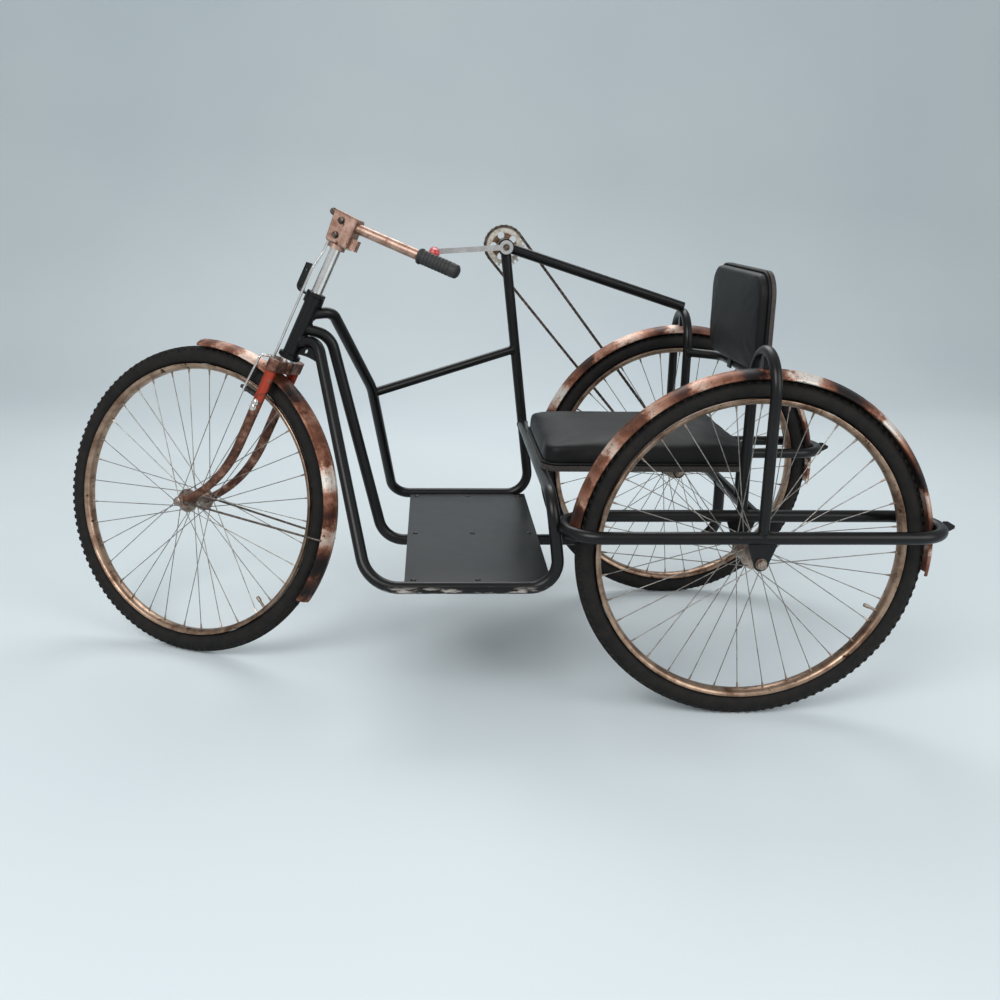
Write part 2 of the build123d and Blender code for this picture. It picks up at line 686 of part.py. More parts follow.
def fixed_axle(half, hub_half, hub_half_right, collar_end):
    """An axle about the Y axis with a bearing collar on each side of its hub."""
    with BuildPart() as form:
        with BuildSketch():
            with BuildLine():
                Polyline(
                    (0, -half),
                    (AXLE_RADIUS, -half),
                    (AXLE_RADIUS, -collar_end),
                    (COLLAR_RADIUS, -collar_end),
                    (COLLAR_RADIUS, -hub_half_right - SEAT_GAP),
                    (AXLE_RADIUS, -hub_half_right - SEAT_GAP),
                    (AXLE_RADIUS, hub_half + SEAT_GAP),
                    (COLLAR_RADIUS, hub_half + SEAT_GAP),
                    (COLLAR_RADIUS, collar_end),
                    (AXLE_RADIUS, collar_end),
                    (AXLE_RADIUS, half),
                    (0, half),
                    close=True,
                )
            make_face()
        revolve(axis=Axis.Y)
    return form.part


# Rear axles, held in the plates
rear_collar_end = LOOP_HALF_WIDTH - PLATE_STEEL / 2 - WELD_GAP
rear_axle_half = LOOP_HALF_WIDTH + AXLE_STAND_OUT
left_axle = placed(fixed_axle(rear_axle_half, REAR_HUB_HALF, REAR_HUB_HALF, rear_collar_end), LEFT_WHEEL)
keep(left_axle, "left_axle")
right_axle = placed(fixed_axle(rear_axle_half, REAR_HUB_HALF, FREEWHEEL_END, rear_collar_end), RIGHT_WHEEL)
keep(right_axle, "right_axle")

# Seat: two posts on the cross tube, a board and a cushion
with BuildPart() as posts_form:
    for side in (1, -1):
        with Locations((CROSS_TUBE_X, side * SEAT_POST_Y, LOOP_HEIGHT)):
            Cylinder(
                SEAT_POST_RADIUS,
                SEAT_UNDERSIDE - LOOP_HEIGHT - WELD_GAP,
                align=(Align.CENTER, Align.CENTER, Align.MIN),
            )
seat_posts = coped(posts_form.part, cross_tube_cutter)
keep(seat_posts, "seat_posts")
seat_length = SEAT_FRONT_X - SEAT_REAR_X
seat_middle = (SEAT_FRONT_X + SEAT_REAR_X) / 2
with BuildPart() as seat_board:
    with BuildSketch(Plane.XY.offset(SEAT_UNDERSIDE)):
        with Locations((seat_middle, 0)):
            RectangleRounded(seat_length, 2 * SEAT_HALF_WIDTH, CUSHION_CORNER)
    extrude(amount=SEAT_BOARD_THICKNESS)
keep(seat_board, "seat_board")
with BuildPart() as seat_cushion:
    with BuildSketch(Plane.XY.offset(SEAT_UNDERSIDE + SEAT_BOARD_THICKNESS + SEAT_GAP)):
        with Locations((seat_middle, 0)):
            RectangleRounded(seat_length, 2 * SEAT_HALF_WIDTH, CUSHION_CORNER)
    extrude(amount=CUSHION_THICKNESS)
    fillet(seat_cushion.faces().sort_by(Axis.Z)[-1].edges(), CUSHION_THICKNESS / 4)
keep(seat_cushion, "seat_cushion")

# Backrest: a bowed rail between the hoops, two straps, a board and a pad
board_front = BACK_FRONT_X - BACK_PAD_THICKNESS - SEAT_GAP
board_rear = board_front - BACK_BOARD_THICKNESS
strap_rear = board_rear - WELD_GAP - STRAP_THICKNESS
rail_x = strap_rear - WELD_GAP - HOOP_TUBE_RADIUS
back_rail_form = bent_tube(
    [
        Vector(0, inner_leg_y, BACK_RAIL_HEIGHT),
        Vector(rail_x, inner_leg_y - BACK_RAIL_SPLAY, BACK_RAIL_HEIGHT),
        Vector(rail_x, -inner_leg_y + BACK_RAIL_SPLAY, BACK_RAIL_HEIGHT),
        Vector(0, -inner_leg_y, BACK_RAIL_HEIGHT),
    ],
    [BACK_RAIL_BEND, BACK_RAIL_BEND],
    HOOP_TUBE_RADIUS,
)
back_rail = coped(back_rail_form, left_hoop_cutter, right_hoop_cutter)
keep(back_rail, "back_rail")
strap_bottom = BACK_RAIL_HEIGHT - HOOP_TUBE_RADIUS
strap_top = BACK_TOP - STRAP_TOP_DROP
with BuildPart() as back_straps:
    for side in (1, -1):
        with Locations((strap_rear + STRAP_THICKNESS / 2, side * STRAP_Y, (strap_bottom + strap_top) / 2)):
            Box(STRAP_THICKNESS, STRAP_WIDTH, strap_top - strap_bottom)
keep(back_straps, "back_straps")
back_height = BACK_TOP - BACK_BOTTOM
back_middle = (BACK_TOP + BACK_BOTTOM) / 2
with BuildPart() as backrest_board:
    with BuildSketch(Plane.YZ.offset(board_rear)):
        with Locations((0, back_middle)):
            RectangleRounded(2 * BACK_HALF_WIDTH, back_height, BACK_CORNER)
    extrude(amount=BACK_BOARD_THICKNESS)
keep(backrest_board, "backrest_board")
with BuildPart() as backrest_pad:
    with BuildSketch(Plane.YZ.offset(board_front + SEAT_GAP)):
        with Locations((0, back_middle)):
            RectangleRounded(2 * BACK_HALF_WIDTH, back_height, BACK_CORNER)
    extrude(amount=BACK_PAD_THICKNESS - SEAT_GAP)
    fillet(backrest_pad.faces().sort_by(Axis.X)[-1].edges(), BACK_PAD_THICKNESS / 3)
keep(backrest_pad, "backrest_pad")

# Rear mudguards, each bolted to both ends of its loop and hung from its hoop by a clip
rear_guard_form = mudguard(REAR_GUARD_FROM, REAR_GUARD_TO)
left_mudguard = placed(rear_guard_form, LEFT_WHEEL)
keep(left_mudguard, "left_mudguard")
right_mudguard = placed(rear_guard_form, RIGHT_WHEEL)
keep(right_mudguard, "right_mudguard")
clip_bottom = AXLE_HEIGHT + GUARD_OUTER_RADIUS + SEAT_GAP
with BuildPart() as clips_form:
    for side in (1, -1):
        with Locations((0, side * HALF_TRACK, clip_bottom)):
            Box(
                GUARD_CLIP_WIDTH,
                GUARD_CLIP_WIDTH,
                HOOP_TOP - clip_bottom,
                align=(Align.CENTER, Align.CENTER, Align.MIN),
            )
guard_clips = coped(clips_form.part, left_hoop_cutter, right_hoop_cutter)
keep(guard_clips, "guard_clips")

# Wheels: every tyre, rim, set of spokes and hub is its own piece
tyre_form = tyre()
rim_form = rim()
spokes_form = spokes()
for name, wheel_place, hub_form in (
    ("left", LEFT_WHEEL, hub(REAR_HUB_HALF)),
    ("right", RIGHT_WHEEL, hub(REAR_HUB_HALF, -1)),
    ("front", FRONT_WHEEL, hub(FRONT_HUB_HALF)),
):
    keep(placed(tyre_form, wheel_place), f"{name}_tyre")
    keep(placed(rim_form, wheel_place), f"{name}_rim")
    keep(placed(spokes_form, wheel_place), f"{name}_spokes")
    keep(placed(hub_form, wheel_place), f"{name}_hub")

# Chain drive: freewheel sprocket, chainwheel and the chain's two rows of side plates
sprocket_form = toothed_disc(SPROCKET_TEETH, SPROCKET_PITCH_RADIUS, FREEWHEEL_RADIUS + RUNNING_GAP)
freewheel_sprocket = placed(sprocket_form, Location((0, CHAIN_Y, AXLE_HEIGHT)))
keep(freewheel_sprocket, "freewheel_sprocket")
with BuildPart() as chainwheel_form:
    add(toothed_disc(CHAINWHEEL_TEETH, CHAINWHEEL_PITCH_RADIUS, CRANK_AXLE_RADIUS + WELD_GAP))
    with BuildSketch(Plane.XZ):
        with PolarLocations(CHAINWHEEL_HOLE_REACH, CHAINWHEEL_HOLES):
            Circle(CHAINWHEEL_HOLE_RADIUS)
    extrude(amount=SPROCKET_THICKNESS, both=True, mode=Mode.SUBTRACT)
chainwheel = placed(chainwheel_form.part, Location((CRANK_X, CHAIN_Y, CRANK_HEIGHT)))
keep(chainwheel, "chainwheel")
chain_run = Vector(CRANK_X, CRANK_HEIGHT - AXLE_HEIGHT)
chain_span = chain_run.length
chain_slope = atan2(CRANK_HEIGHT - AXLE_HEIGHT, CRANK_X)
wrap = acos((SPROCKET_PITCH_RADIUS - CHAINWHEEL_PITCH_RADIUS) / chain_span)


def chain_edge(grow):
    """The chain's outline in its own plane, a distance outside the pitch line."""
    low = SPROCKET_PITCH_RADIUS + grow
    high = CHAINWHEEL_PITCH_RADIUS + grow
    touch = []
    for turn in (wrap, -wrap):
        way = Vector(cos(chain_slope + turn), sin(chain_slope + turn))
        touch.append((Vector(0, AXLE_HEIGHT) + way * low, Vector(CRANK_X, CRANK_HEIGHT) + way * high))
    along = Vector(cos(chain_slope), sin(chain_slope))
    heel = Vector(0, AXLE_HEIGHT) - along * low
    nose = Vector(CRANK_X, CRANK_HEIGHT) + along * high
    Line(touch[0][0], touch[0][1])
    ThreePointArc(touch[0][1], nose, touch[1][1])
    Line(touch[1][1], touch[1][0])
    ThreePointArc(touch[1][0], heel, touch[0][0])


with BuildPart() as chain:
    for side in (1, -1):
        inner_face = side * PLATE_INNER_GAP / 2
        with BuildSketch(Plane.XZ.offset(-CHAIN_Y - inner_face)):
            with BuildLine():
                chain_edge(PLATE_HEIGHT / 2)
            make_face()
            with BuildLine():
                chain_edge(-PLATE_HEIGHT / 2)
            make_face(mode=Mode.SUBTRACT)
        extrude(amount=-side * PLATE_THICKNESS)
keep(chain, "chain")

# Crank: axle through the shell, arm on the rider's side and a handle that points inwards
arm_outer_y = -HALF_TRACK + SHELL_HALF + SEAT_GAP
arm_inner_y = arm_outer_y + ARM_THICKNESS
axle_outer_y = CHAIN_Y - SPROCKET_THICKNESS / 2 - CRANK_AXLE_END
with BuildPart() as crank_axle:
    with BuildSketch(Plane.XZ.offset(-axle_outer_y)):
        with Locations((CRANK_X, CRANK_HEIGHT)):
            Circle(CRANK_AXLE_RADIUS)
    extrude(amount=-(arm_inner_y + CRANK_AXLE_END / 2 - axle_outer_y))
keep(crank_axle, "crank_axle")
pin_x = CRANK_X + CRANK_LENGTH * cos(radians(CRANK_ANGLE))
pin_z = CRANK_HEIGHT + CRANK_LENGTH * sin(radians(CRANK_ANGLE))
with BuildPart() as crank_arm:
    with BuildSketch(Plane.XZ.offset(-arm_inner_y)):
        with BuildLine():
            Polyline((CRANK_X, CRANK_HEIGHT), (pin_x, pin_z))
        trace(line_width=ARM_WIDTH)
        with Locations((CRANK_X, CRANK_HEIGHT)):
            Circle(ARM_BOSS_RADIUS)
        with Locations((pin_x, pin_z)):
            Circle(ARM_EYE_RADIUS)
        with Locations((CRANK_X, CRANK_HEIGHT)):
            Circle(CRANK_AXLE_RADIUS + WELD_GAP, mode=Mode.SUBTRACT)
        with Locations((pin_x, pin_z)):
            Circle(HANDLE_PIN_RADIUS + WELD_GAP, mode=Mode.SUBTRACT)
    extrude(amount=ARM_THICKNESS)
keep(crank_arm, "crank_arm")
with BuildPart() as crank_handle:
    with BuildSketch(Plane.XZ.offset(-arm_inner_y - SEAT_GAP)):
        with Locations((pin_x, pin_z)):
            Circle(HANDLE_RADIUS)
    extrude(amount=-HANDLE_LENGTH)
    fillet(crank_handle.edges(), HANDLE_EDGE)
    with BuildSketch(Plane.XZ.offset(-arm_inner_y - SEAT_GAP)):
        with Locations((pin_x, pin_z)):
            Circle(HANDLE_PIN_RADIUS)
    extrude(amount=ARM_THICKNESS + SEAT_GAP)
keep(crank_handle, "crank_handle")

# Fork: crown, two curved blades, stem and the bearing seat under the head
rod_out = CUP_RADIUS + BRAKE_ROD_CLEAR + BRAKE_ROD_RADIUS
rod_way = Vector(cos(radians(BRAKE_ROD_TURN)), sin(radians(BRAKE_ROD_TURN)), 0)
tab_reach = rod_out - BRAKE_ROD_RADIUS - SEAT_GAP
with BuildPart() as crown_form:
    with BuildSketch(Plane.XY.offset(CROWN_HEIGHT - CROWN_THICKNESS / 2)):
        SlotOverall(
            2 * (FORK_HALF_WIDTH + BLADE_RADIUS + CROWN_WALL),
            2 * (BLADE_RADIUS + CROWN_WALL),
            rotation=90,
        )
        Circle(STEM_RADIUS + 2 * CROWN_WALL)
        with Locations(rod_way * (tab_reach / 2)):
            Rectangle(tab_reach, BRAKE_TAB_WIDTH, rotation=BRAKE_ROD_TURN)
    extrude(amount=CROWN_THICKNESS)
    chamfer(crown_form.faces().sort_by(Axis.Z)[0].edges(), CROWN_EDGE)
    with Locations((0, 0, CROWN_HEIGHT)):
        Cylinder(STEM_RADIUS + WELD_GAP, 2 * CROWN_THICKNESS, mode=Mode.SUBTRACT)
fork_crown = placed(crown_form.part, FORK)
keep(fork_crown, "fork_crown")
blade_top = CROWN_HEIGHT - CROWN_THICKNESS / 2 - WELD_GAP
blade_bend = (FORK_RAKE**2 + BLADE_CURVE**2) / (2 * FORK_RAKE)
half_turn = asin(BLADE_CURVE / blade_bend) / 2
tip_side = BLADE_RADIUS + TIP_THICKNESS / 2
with BuildPart() as blades_form:
    for side in (1, -1):
        blade_plane = Plane.XZ.offset(-side * FORK_HALF_WIDTH)
        with BuildLine(blade_plane) as route:
            Line((0, blade_top), (0, BLADE_CURVE))
            ThreePointArc(
                (0, BLADE_CURVE),
                (blade_bend * (1 - cos(half_turn)), BLADE_CURVE - blade_bend * sin(half_turn)),
                (FORK_RAKE, 0),
            )
        with BuildSketch(Plane(origin=route.line @ 0, z_dir=route.line % 0)) as blade_root:
            Circle(BLADE_RADIUS)
        with BuildSketch(Plane(origin=route.line @ 1, z_dir=route.line % 1)) as blade_end:
            Circle(BLADE_END_RADIUS)
        sweep(sections=[blade_root.sketch, blade_end.sketch], path=route.wires()[0], multisection=True)
        with BuildSketch(blade_plane.offset(-TIP_THICKNESS / 2)):
            with Locations((FORK_RAKE, 0)):
                Circle(TIP_RADIUS)
        extrude(amount=TIP_THICKNESS)
        with Locations(Location((FORK_RAKE, side * FORK_HALF_WIDTH, 0), (90, 0, 0))):
            Cylinder(AXLE_RADIUS + WELD_GAP, 4 * BLADE_RADIUS, mode=Mode.SUBTRACT)
            with Locations((0, 0, tip_side), (0, 0, -tip_side)):
                Cylinder(TIP_RADIUS, 2 * BLADE_RADIUS, mode=Mode.SUBTRACT)
fork_blades = placed(blades_form.part, FORK)
keep(fork_blades, "fork_blades")
with BuildPart() as stem_form:
    with BuildSketch(Plane.XZ):
        with BuildLine():
            Polyline(
                (0, CROWN_HEIGHT - CROWN_THICKNESS / 2),
                (STEM_RADIUS, CROWN_HEIGHT - CROWN_THICKNESS / 2),
                (STEM_RADIUS, CROWN_HEIGHT + CROWN_THICKNESS / 2 + WELD_GAP),
                (HEAD_TUBE_RADIUS, CROWN_HEIGHT + CROWN_THICKNESS / 2 + WELD_GAP),
                (HEAD_TUBE_RADIUS, HEAD_LOWER - SEAT_GAP),
                (STEM_RADIUS, HEAD_LOWER - SEAT_GAP),
                (STEM_RADIUS, CLAMP_LOWER - WELD_GAP),
                (0, CLAMP_LOWER - WELD_GAP),
                close=True,
            )
        make_face()
    revolve(axis=Axis.Z)
steering_stem = placed(stem_form.part, FORK)
keep(steering_stem, "steering_stem")

# Front axle, mudguard and the mudguard's stays
stay_y = FORK_HALF_WIDTH + BLADE_RADIUS + STAY_RADIUS + WELD_GAP
front_collar_end = FORK_HALF_WIDTH - TIP_THICKNESS / 2 - WELD_GAP
front_axle = placed(
    fixed_axle(stay_y + STAY_STAND_OUT, FRONT_HUB_HALF, FRONT_HUB_HALF, front_collar_end), FRONT_WHEEL
)
keep(front_axle, "front_axle")
front_mudguard = placed(mudguard(FRONT_GUARD_FROM - HEAD_TILT, FRONT_GUARD_TO - HEAD_TILT), FRONT_WHEEL)
keep(front_mudguard, "front_mudguard")
stay_turn = radians(STAY_ANGLE - HEAD_TILT)
with BuildPart() as stays_form:
    for side in (1, -1):
        stay_end = Vector(
            (GUARD_INNER_RADIUS - GUARD_EDGE_DROP) * cos(stay_turn),
            side * (GUARD_WIDTH / 2 + STAY_RADIUS + SEAT_GAP),
            (GUARD_INNER_RADIUS - GUARD_EDGE_DROP) * sin(stay_turn),
        )
        stay_eye = Vector(0, side * stay_y, 0)
        stay_start = stay_eye + (stay_end - stay_eye).normalized() * (AXLE_RADIUS + SEAT_GAP)
        with Locations(Plane(origin=stay_start, z_dir=stay_end - stay_start).location):
            Cylinder(
                STAY_RADIUS, (stay_end - stay_start).length, align=(Align.CENTER, Align.CENTER, Align.MIN)
            )
guard_stays = placed(stays_form.part, FRONT_WHEEL)
keep(guard_stays, "guard_stays")

# Tiller: clamp on the stem, bar and grip
tiller_way = Vector(-TILLER_REACH, 0, TILLER_RISE).normalized()
tiller_root = Vector(0, 0, TILLER_HEIGHT)
grip_start = tiller_root + tiller_way * (TILLER_REACH - GRIP_LENGTH)
with BuildPart() as bar_form:
    with Locations(Plane(origin=tiller_root, z_dir=tiller_way).location):
        Cylinder(
            TILLER_RADIUS,
            TILLER_REACH - GRIP_END_WALL - SEAT_GAP,
            align=(Align.CENTER, Align.CENTER, Align.MIN),
        )
    with Locations((0, 0, TILLER_HEIGHT)):
        Box(2 * (CLAMP_REAR + WELD_GAP), 4 * TILLER_RADIUS, 4 * TILLER_RADIUS, mode=Mode.SUBTRACT)
tiller_bar = placed(bar_form.part, FORK)
keep(tiller_bar, "tiller_bar")
with BuildPart() as clamp_form:
    with BuildSketch(Plane.XZ):
        with BuildLine():
            Polyline(
                (-CLAMP_REAR, CLAMP_BLOCK_LOWER),
                (CLAMP_BOTTOM_FRONT, CLAMP_BLOCK_LOWER),
                (CLAMP_TOP_FRONT, CLAMP_UPPER),
                (-CLAMP_REAR, CLAMP_UPPER),
                close=True,
            )
        make_face()
    extrude(amount=CLAMP_HALF_WIDTH, both=True)
    chamfer(clamp_form.edges(), CLAMP_EDGE)
    with BuildSketch(Plane.XZ):
        with Locations((CLAMP_LUG_AHEAD, CLAMP_UPPER - CLAMP_LUG_RADIUS)):
            Circle(CLAMP_LUG_RADIUS)
    extrude(amount=CLAMP_HALF_WIDTH / 2, both=True)
    with Locations((-CLAMP_REAR, 0, CLAMP_BLOCK_LOWER + CLAMP_EDGE)):
        Box(
            2 * CLAMP_EAR_REACH,
            CLAMP_EAR_WIDTH,
            CLAMP_EAR_HEIGHT,
            align=(Align.CENTER, Align.CENTER, Align.MIN),
        )
    with BuildSketch(Plane.XY.offset(CLAMP_LOWER)):
        Circle(CLAMP_RADIUS)
    extrude(amount=CLAMP_BLOCK_LOWER - CLAMP_LOWER)
tiller_clamp = placed(clamp_form.part, FORK)
keep(tiller_clamp, "tiller_clamp")
with BuildPart() as grip_form:
    with Locations(Plane(origin=grip_start, z_dir=tiller_way).location):
        Cylinder(GRIP_RADIUS, GRIP_LENGTH, align=(Align.CENTER, Align.CENTER, Align.MIN))
    fillet(grip_form.edges(), GRIP_RADIUS / 4)
    with Locations(Plane(origin=grip_start, z_dir=tiller_way).location):
        Cylinder(
            TILLER_RADIUS + WELD_GAP,
            GRIP_LENGTH - GRIP_END_WALL,
            align=(Align.CENTER, Align.CENTER, Align.MIN),
            mode=Mode.SUBTRACT,
        )
tiller_grip = placed(grip_form.part, FORK)
keep(tiller_grip, "tiller_grip")

# Lamp bracket in front of the stem and the brake rod down to the crown
lamp_foot = HEAD_UPPER + SEAT_GAP + LAMP_STRIP_THICKNESS / 2
lamp_front = STEM_RADIUS + LAMP_STRIP_REACH
with BuildPart() as lamp_form:
    with BuildSketch(Plane.XZ.offset(-LAMP_STRIP_WIDTH / 2)):
        with BuildLine():
            FilletPolyline(
                (STEM_RADIUS + LAMP_RING_WALL - WELD_GAP, lamp_foot),
                (lamp_front, lamp_foot),
                (lamp_front, lamp_foot + LAMP_STRIP_RISE),
                radius=[LAMP_STRIP_BEND],
            )
        trace(line_width=LAMP_STRIP_THICKNESS)
    extrude(amount=LAMP_STRIP_WIDTH)
    with Locations(Location((lamp_front, 0, lamp_foot + LAMP_HOLE_RISE), (0, 90, 0))):
        Cylinder(LAMP_HOLE_RADIUS, 3 * LAMP_STRIP_THICKNESS, mode=Mode.SUBTRACT)
    with BuildSketch(Plane.XY.offset(lamp_foot - LAMP_STRIP_THICKNESS / 2)):
        Circle(STEM_RADIUS + LAMP_RING_WALL)
        Circle(STEM_RADIUS + WELD_GAP, mode=Mode.SUBTRACT)
    extrude(amount=LAMP_STRIP_THICKNESS)
lamp_bracket = placed(lamp_form.part, FORK)
keep(lamp_bracket, "lamp_bracket")
rod_top_out = CLAMP_RADIUS + BRAKE_ROD_RADIUS + SEAT_GAP
rod_form = bent_tube(
    [
        rod_way * rod_out + Vector(0, 0, CROWN_HEIGHT - CROWN_THICKNESS / 4),
        rod_way * rod_out + Vector(0, 0, CLAMP_LOWER - BRAKE_ROD_KNEE),
        rod_way * rod_top_out + Vector(0, 0, CLAMP_LOWER - BRAKE_ROD_NECK),
        rod_way * rod_top_out + Vector(0, 0, CLAMP_BLOCK_LOWER - SEAT_GAP),
    ],
    [BRAKE_ROD_BEND, BRAKE_ROD_BEND],
    BRAKE_ROD_RADIUS,
)
brake_rod = placed(rod_form, FORK)
keep(brake_rod, "brake_rod")
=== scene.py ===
# Hand-cranked mobility tricycle: finishes and fine pieces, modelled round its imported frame.
import bpy
import json
from math import acos, asin, atan2, cos, pi, radians, sin
from mathutils import Matrix, Vector


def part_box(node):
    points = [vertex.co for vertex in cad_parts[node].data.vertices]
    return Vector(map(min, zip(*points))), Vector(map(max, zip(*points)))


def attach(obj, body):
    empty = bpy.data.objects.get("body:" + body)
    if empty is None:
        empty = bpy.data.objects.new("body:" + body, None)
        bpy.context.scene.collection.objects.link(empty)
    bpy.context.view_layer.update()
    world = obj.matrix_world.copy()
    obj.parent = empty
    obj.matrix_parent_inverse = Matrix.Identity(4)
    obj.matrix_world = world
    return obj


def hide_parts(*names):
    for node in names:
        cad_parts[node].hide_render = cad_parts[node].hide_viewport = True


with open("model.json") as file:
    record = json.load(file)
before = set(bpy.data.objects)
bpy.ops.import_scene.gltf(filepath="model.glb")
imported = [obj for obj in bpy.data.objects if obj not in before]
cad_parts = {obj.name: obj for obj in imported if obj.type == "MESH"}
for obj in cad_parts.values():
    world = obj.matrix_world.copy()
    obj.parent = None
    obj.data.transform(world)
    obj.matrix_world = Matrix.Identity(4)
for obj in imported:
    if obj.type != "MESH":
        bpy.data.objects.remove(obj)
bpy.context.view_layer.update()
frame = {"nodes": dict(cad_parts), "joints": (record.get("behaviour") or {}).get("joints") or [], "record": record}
nodes = frame["nodes"]
joints = {joint["name"]: joint for joint in frame["joints"]}

# Sizes shared with the frame, in metres
SPOKE_COUNT = 36
SPOKE_CROSSES = 3
SPOKE_HOLE_RADIUS = 0.022
SPOKE_END_RADIUS = 0.3042
SPOKE_END_SIDE = 0.0028
FLANGE_OFFSET = 0.030
AXLE_RADIUS = 0.005
GUARD_RADIUS = 0.3725
GUARD_EDGE_DROP = 0.009
REAR_GUARD_ANGLES = (7, 187)
FRONT_GUARD_ANGLES = (67, 189)
CHAIN_PITCH = 0.0127
CHAINWHEEL_TEETH = 24
SPROCKET_TEETH = 16
TILLER_HEIGHT = 0.726
TILLER_REACH = 0.287
TILLER_RISE = 0.018
GRIP_LENGTH = 0.097
HEAD_LOWER = 0.405
HEAD_UPPER = 0.550
CLAMP_UPPER = 0.746
CLAMP_HALF_WIDTH = 0.019
CLAMP_LUG_AHEAD = 0.036
FRONT_NUT_REACH = 0.0622
FORK_RAKE = 0.075
FORK_HALF_WIDTH = 0.046
BLADE_CURVE = 0.190
BLADE_TOP = 0.3708
TIP_RADIUS = 0.014
TUBE_RADIUS = 0.0127
HOOP_TUBE_RADIUS = 0.011
HEAD_TUBE_RADIUS = 0.018
SHELL_RADIUS = 0.020
RISER_FOOT = (0.384, 0.280)
SEAT_BAR_HEIGHT = 0.470
BRACE_REAR_HEIGHT = 0.667
HEAD_SOCKETS = ((0.440, 53, 25, 12), (0.479, 63, 0, -16), (0.512, 53, -18, 4))
CRANK_LENGTH = 0.179
CRANK_ANGLE = -4
ARM_THICKNESS = 0.012

# Sizes of the pieces made here
MERGE = 1e-5
WHEEL_STEPS = 120
TREAD_BARS = 120
NIPPLE_LENGTH = 0.013
NUT_ACROSS = 0.0098
NUT_HEIGHT = 0.008
CUSHION_VOXEL = 0.006
CUSHION_CAP = 0.012
PAD_CAP = 0.007
PIPING_RADIUS = 0.003
WELD_RADIUS = 0.0021
BLADE_DEPTH = 0.027
BLADE_WIDTH = 0.018
BRAKE_ANGLE = 94
STIRRUP_TOP = 0.3880
STIRRUP_KNEE = 0.2960
STIRRUP_TOE = 0.0135
STIRRUP_HALF_WIDTH = 0.0335
STIRRUP_WIRE = 0.0030
BLOCK_SIZE = (0.042, 0.0095, 0.0080)
LUG_THICKNESS = 0.003
SEAT_POST_SIDE = 0.150
SEAT_POST_RADIUS = 0.0095
PLATE_THICKNESS = 0.0012
PLATE_INNER_FACE = 0.0023
GUARD_SHEET = 0.0010
WASHER_THICKNESS = 0.0014


def place_of(joint):
    """Where a joint stands."""
    return Vector(joints[joint]["pos_m"])


UPRIGHT = Vector(joints["steering"]["axis"]).normalized()
SIDEWAYS = Vector(joints["front_wheel_spin"]["axis"]).normalized()
HEADING = SIDEWAYS.cross(UPRIGHT).normalized()
STEERED = Matrix((HEADING, SIDEWAYS, UPRIGHT)).transposed().to_4x4()
FORK = Matrix.Translation(place_of("steering")) @ STEERED
WHEELS = {
    "left": Matrix.Translation(place_of("left_wheel_spin")),
    "right": Matrix.Translation(place_of("right_wheel_spin")),
    "front": Matrix.Translation(place_of("front_wheel_spin")) @ STEERED,
}
tyre_low, tyre_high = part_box("left_tyre")
TYRE_RADIUS = (tyre_high.z - tyre_low.z) / 2
TYRE_HALF_WIDTH = (tyre_high.y - tyre_low.y) / 2
guard_low, guard_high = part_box("left_mudguard")
GUARD_HALF_WIDTH = (guard_high.y - guard_low.y) / 2


# Working by hand: selecting, drawing, turning and placing


def select_only(*pieces):
    """Leave just these pieces selected, the first one active."""
    bpy.ops.object.select_all(action="DESELECT")
    for piece in pieces:
        piece.select_set(True)
    bpy.context.view_layer.objects.active = pieces[0]


def draw(name, points):
    """A line drawn by extruding one vertex from point to point, left in edit mode."""
    bpy.ops.object.select_all(action="DESELECT")
    bpy.ops.mesh.primitive_plane_add(size=0.01, location=(0, 0, 0))
    piece = bpy.context.object
    piece.name = name
    bpy.ops.object.mode_set(mode="EDIT")
    bpy.ops.mesh.select_mode(type="VERT")
    bpy.ops.mesh.select_all(action="SELECT")
    bpy.ops.mesh.merge(type="CENTER")
    bpy.ops.transform.translate(value=Vector(points[0]))
    for here, there in zip(points, points[1:]):
        bpy.ops.mesh.extrude_region_move(TRANSFORM_OT_translate={"value": Vector(there) - Vector(here)})
    return piece


def draw_ring(name, points):
    """A drawn line closed into a ring, left in edit mode."""
    ring = draw(name, [*points, points[0]])
    bpy.ops.mesh.select_all(action="SELECT")
    bpy.ops.mesh.remove_doubles(threshold=MERGE)
    return ring


def start_from(add, **settings):
    """A primitive as a start, alone in the selection, with its place in its mesh."""
    bpy.ops.object.select_all(action="DESELECT")
    add(**settings)
    bpy.ops.object.transform_apply(location=True, rotation=True, scale=True)
    return bpy.context.object


def box_of(size):
    """A box of a given size about the origin."""
    box = start_from(bpy.ops.mesh.primitive_cube_add, size=1)
    box.scale = size
    bpy.ops.object.transform_apply(scale=True)
    return box


def tidy_faces():
    """Merge doubles and turn every face outwards, in edit mode."""
    bpy.ops.mesh.select_all(action="SELECT")
    bpy.ops.mesh.remove_doubles(threshold=MERGE)
    bpy.ops.mesh.normals_make_consistent(inside=False)


def turn_on_lathe(name, points, steps, turn=2 * pi, axis=(0, 1, 0)):
    """A drawn line spun about an axis through the origin."""
    piece = draw(name, points)
    bpy.ops.mesh.select_all(action="SELECT")
    bpy.ops.mesh.spin(steps=steps, angle=turn, center=(0, 0, 0), axis=axis)
    tidy_faces()
    bpy.ops.object.mode_set(mode="OBJECT")
    return piece


def cut_plate(name, outline, thickness):
    """A flat plate: an outline across Y, filled and made thick along Y."""
    plate = draw(name, outline)
    bpy.ops.mesh.select_all(action="SELECT")
    bpy.ops.mesh.edge_face_add()
    bpy.ops.mesh.extrude_region_move(TRANSFORM_OT_translate={"value": (0, thickness, 0)})
    tidy_faces()
    bpy.ops.object.mode_set(mode="OBJECT")
    return plate


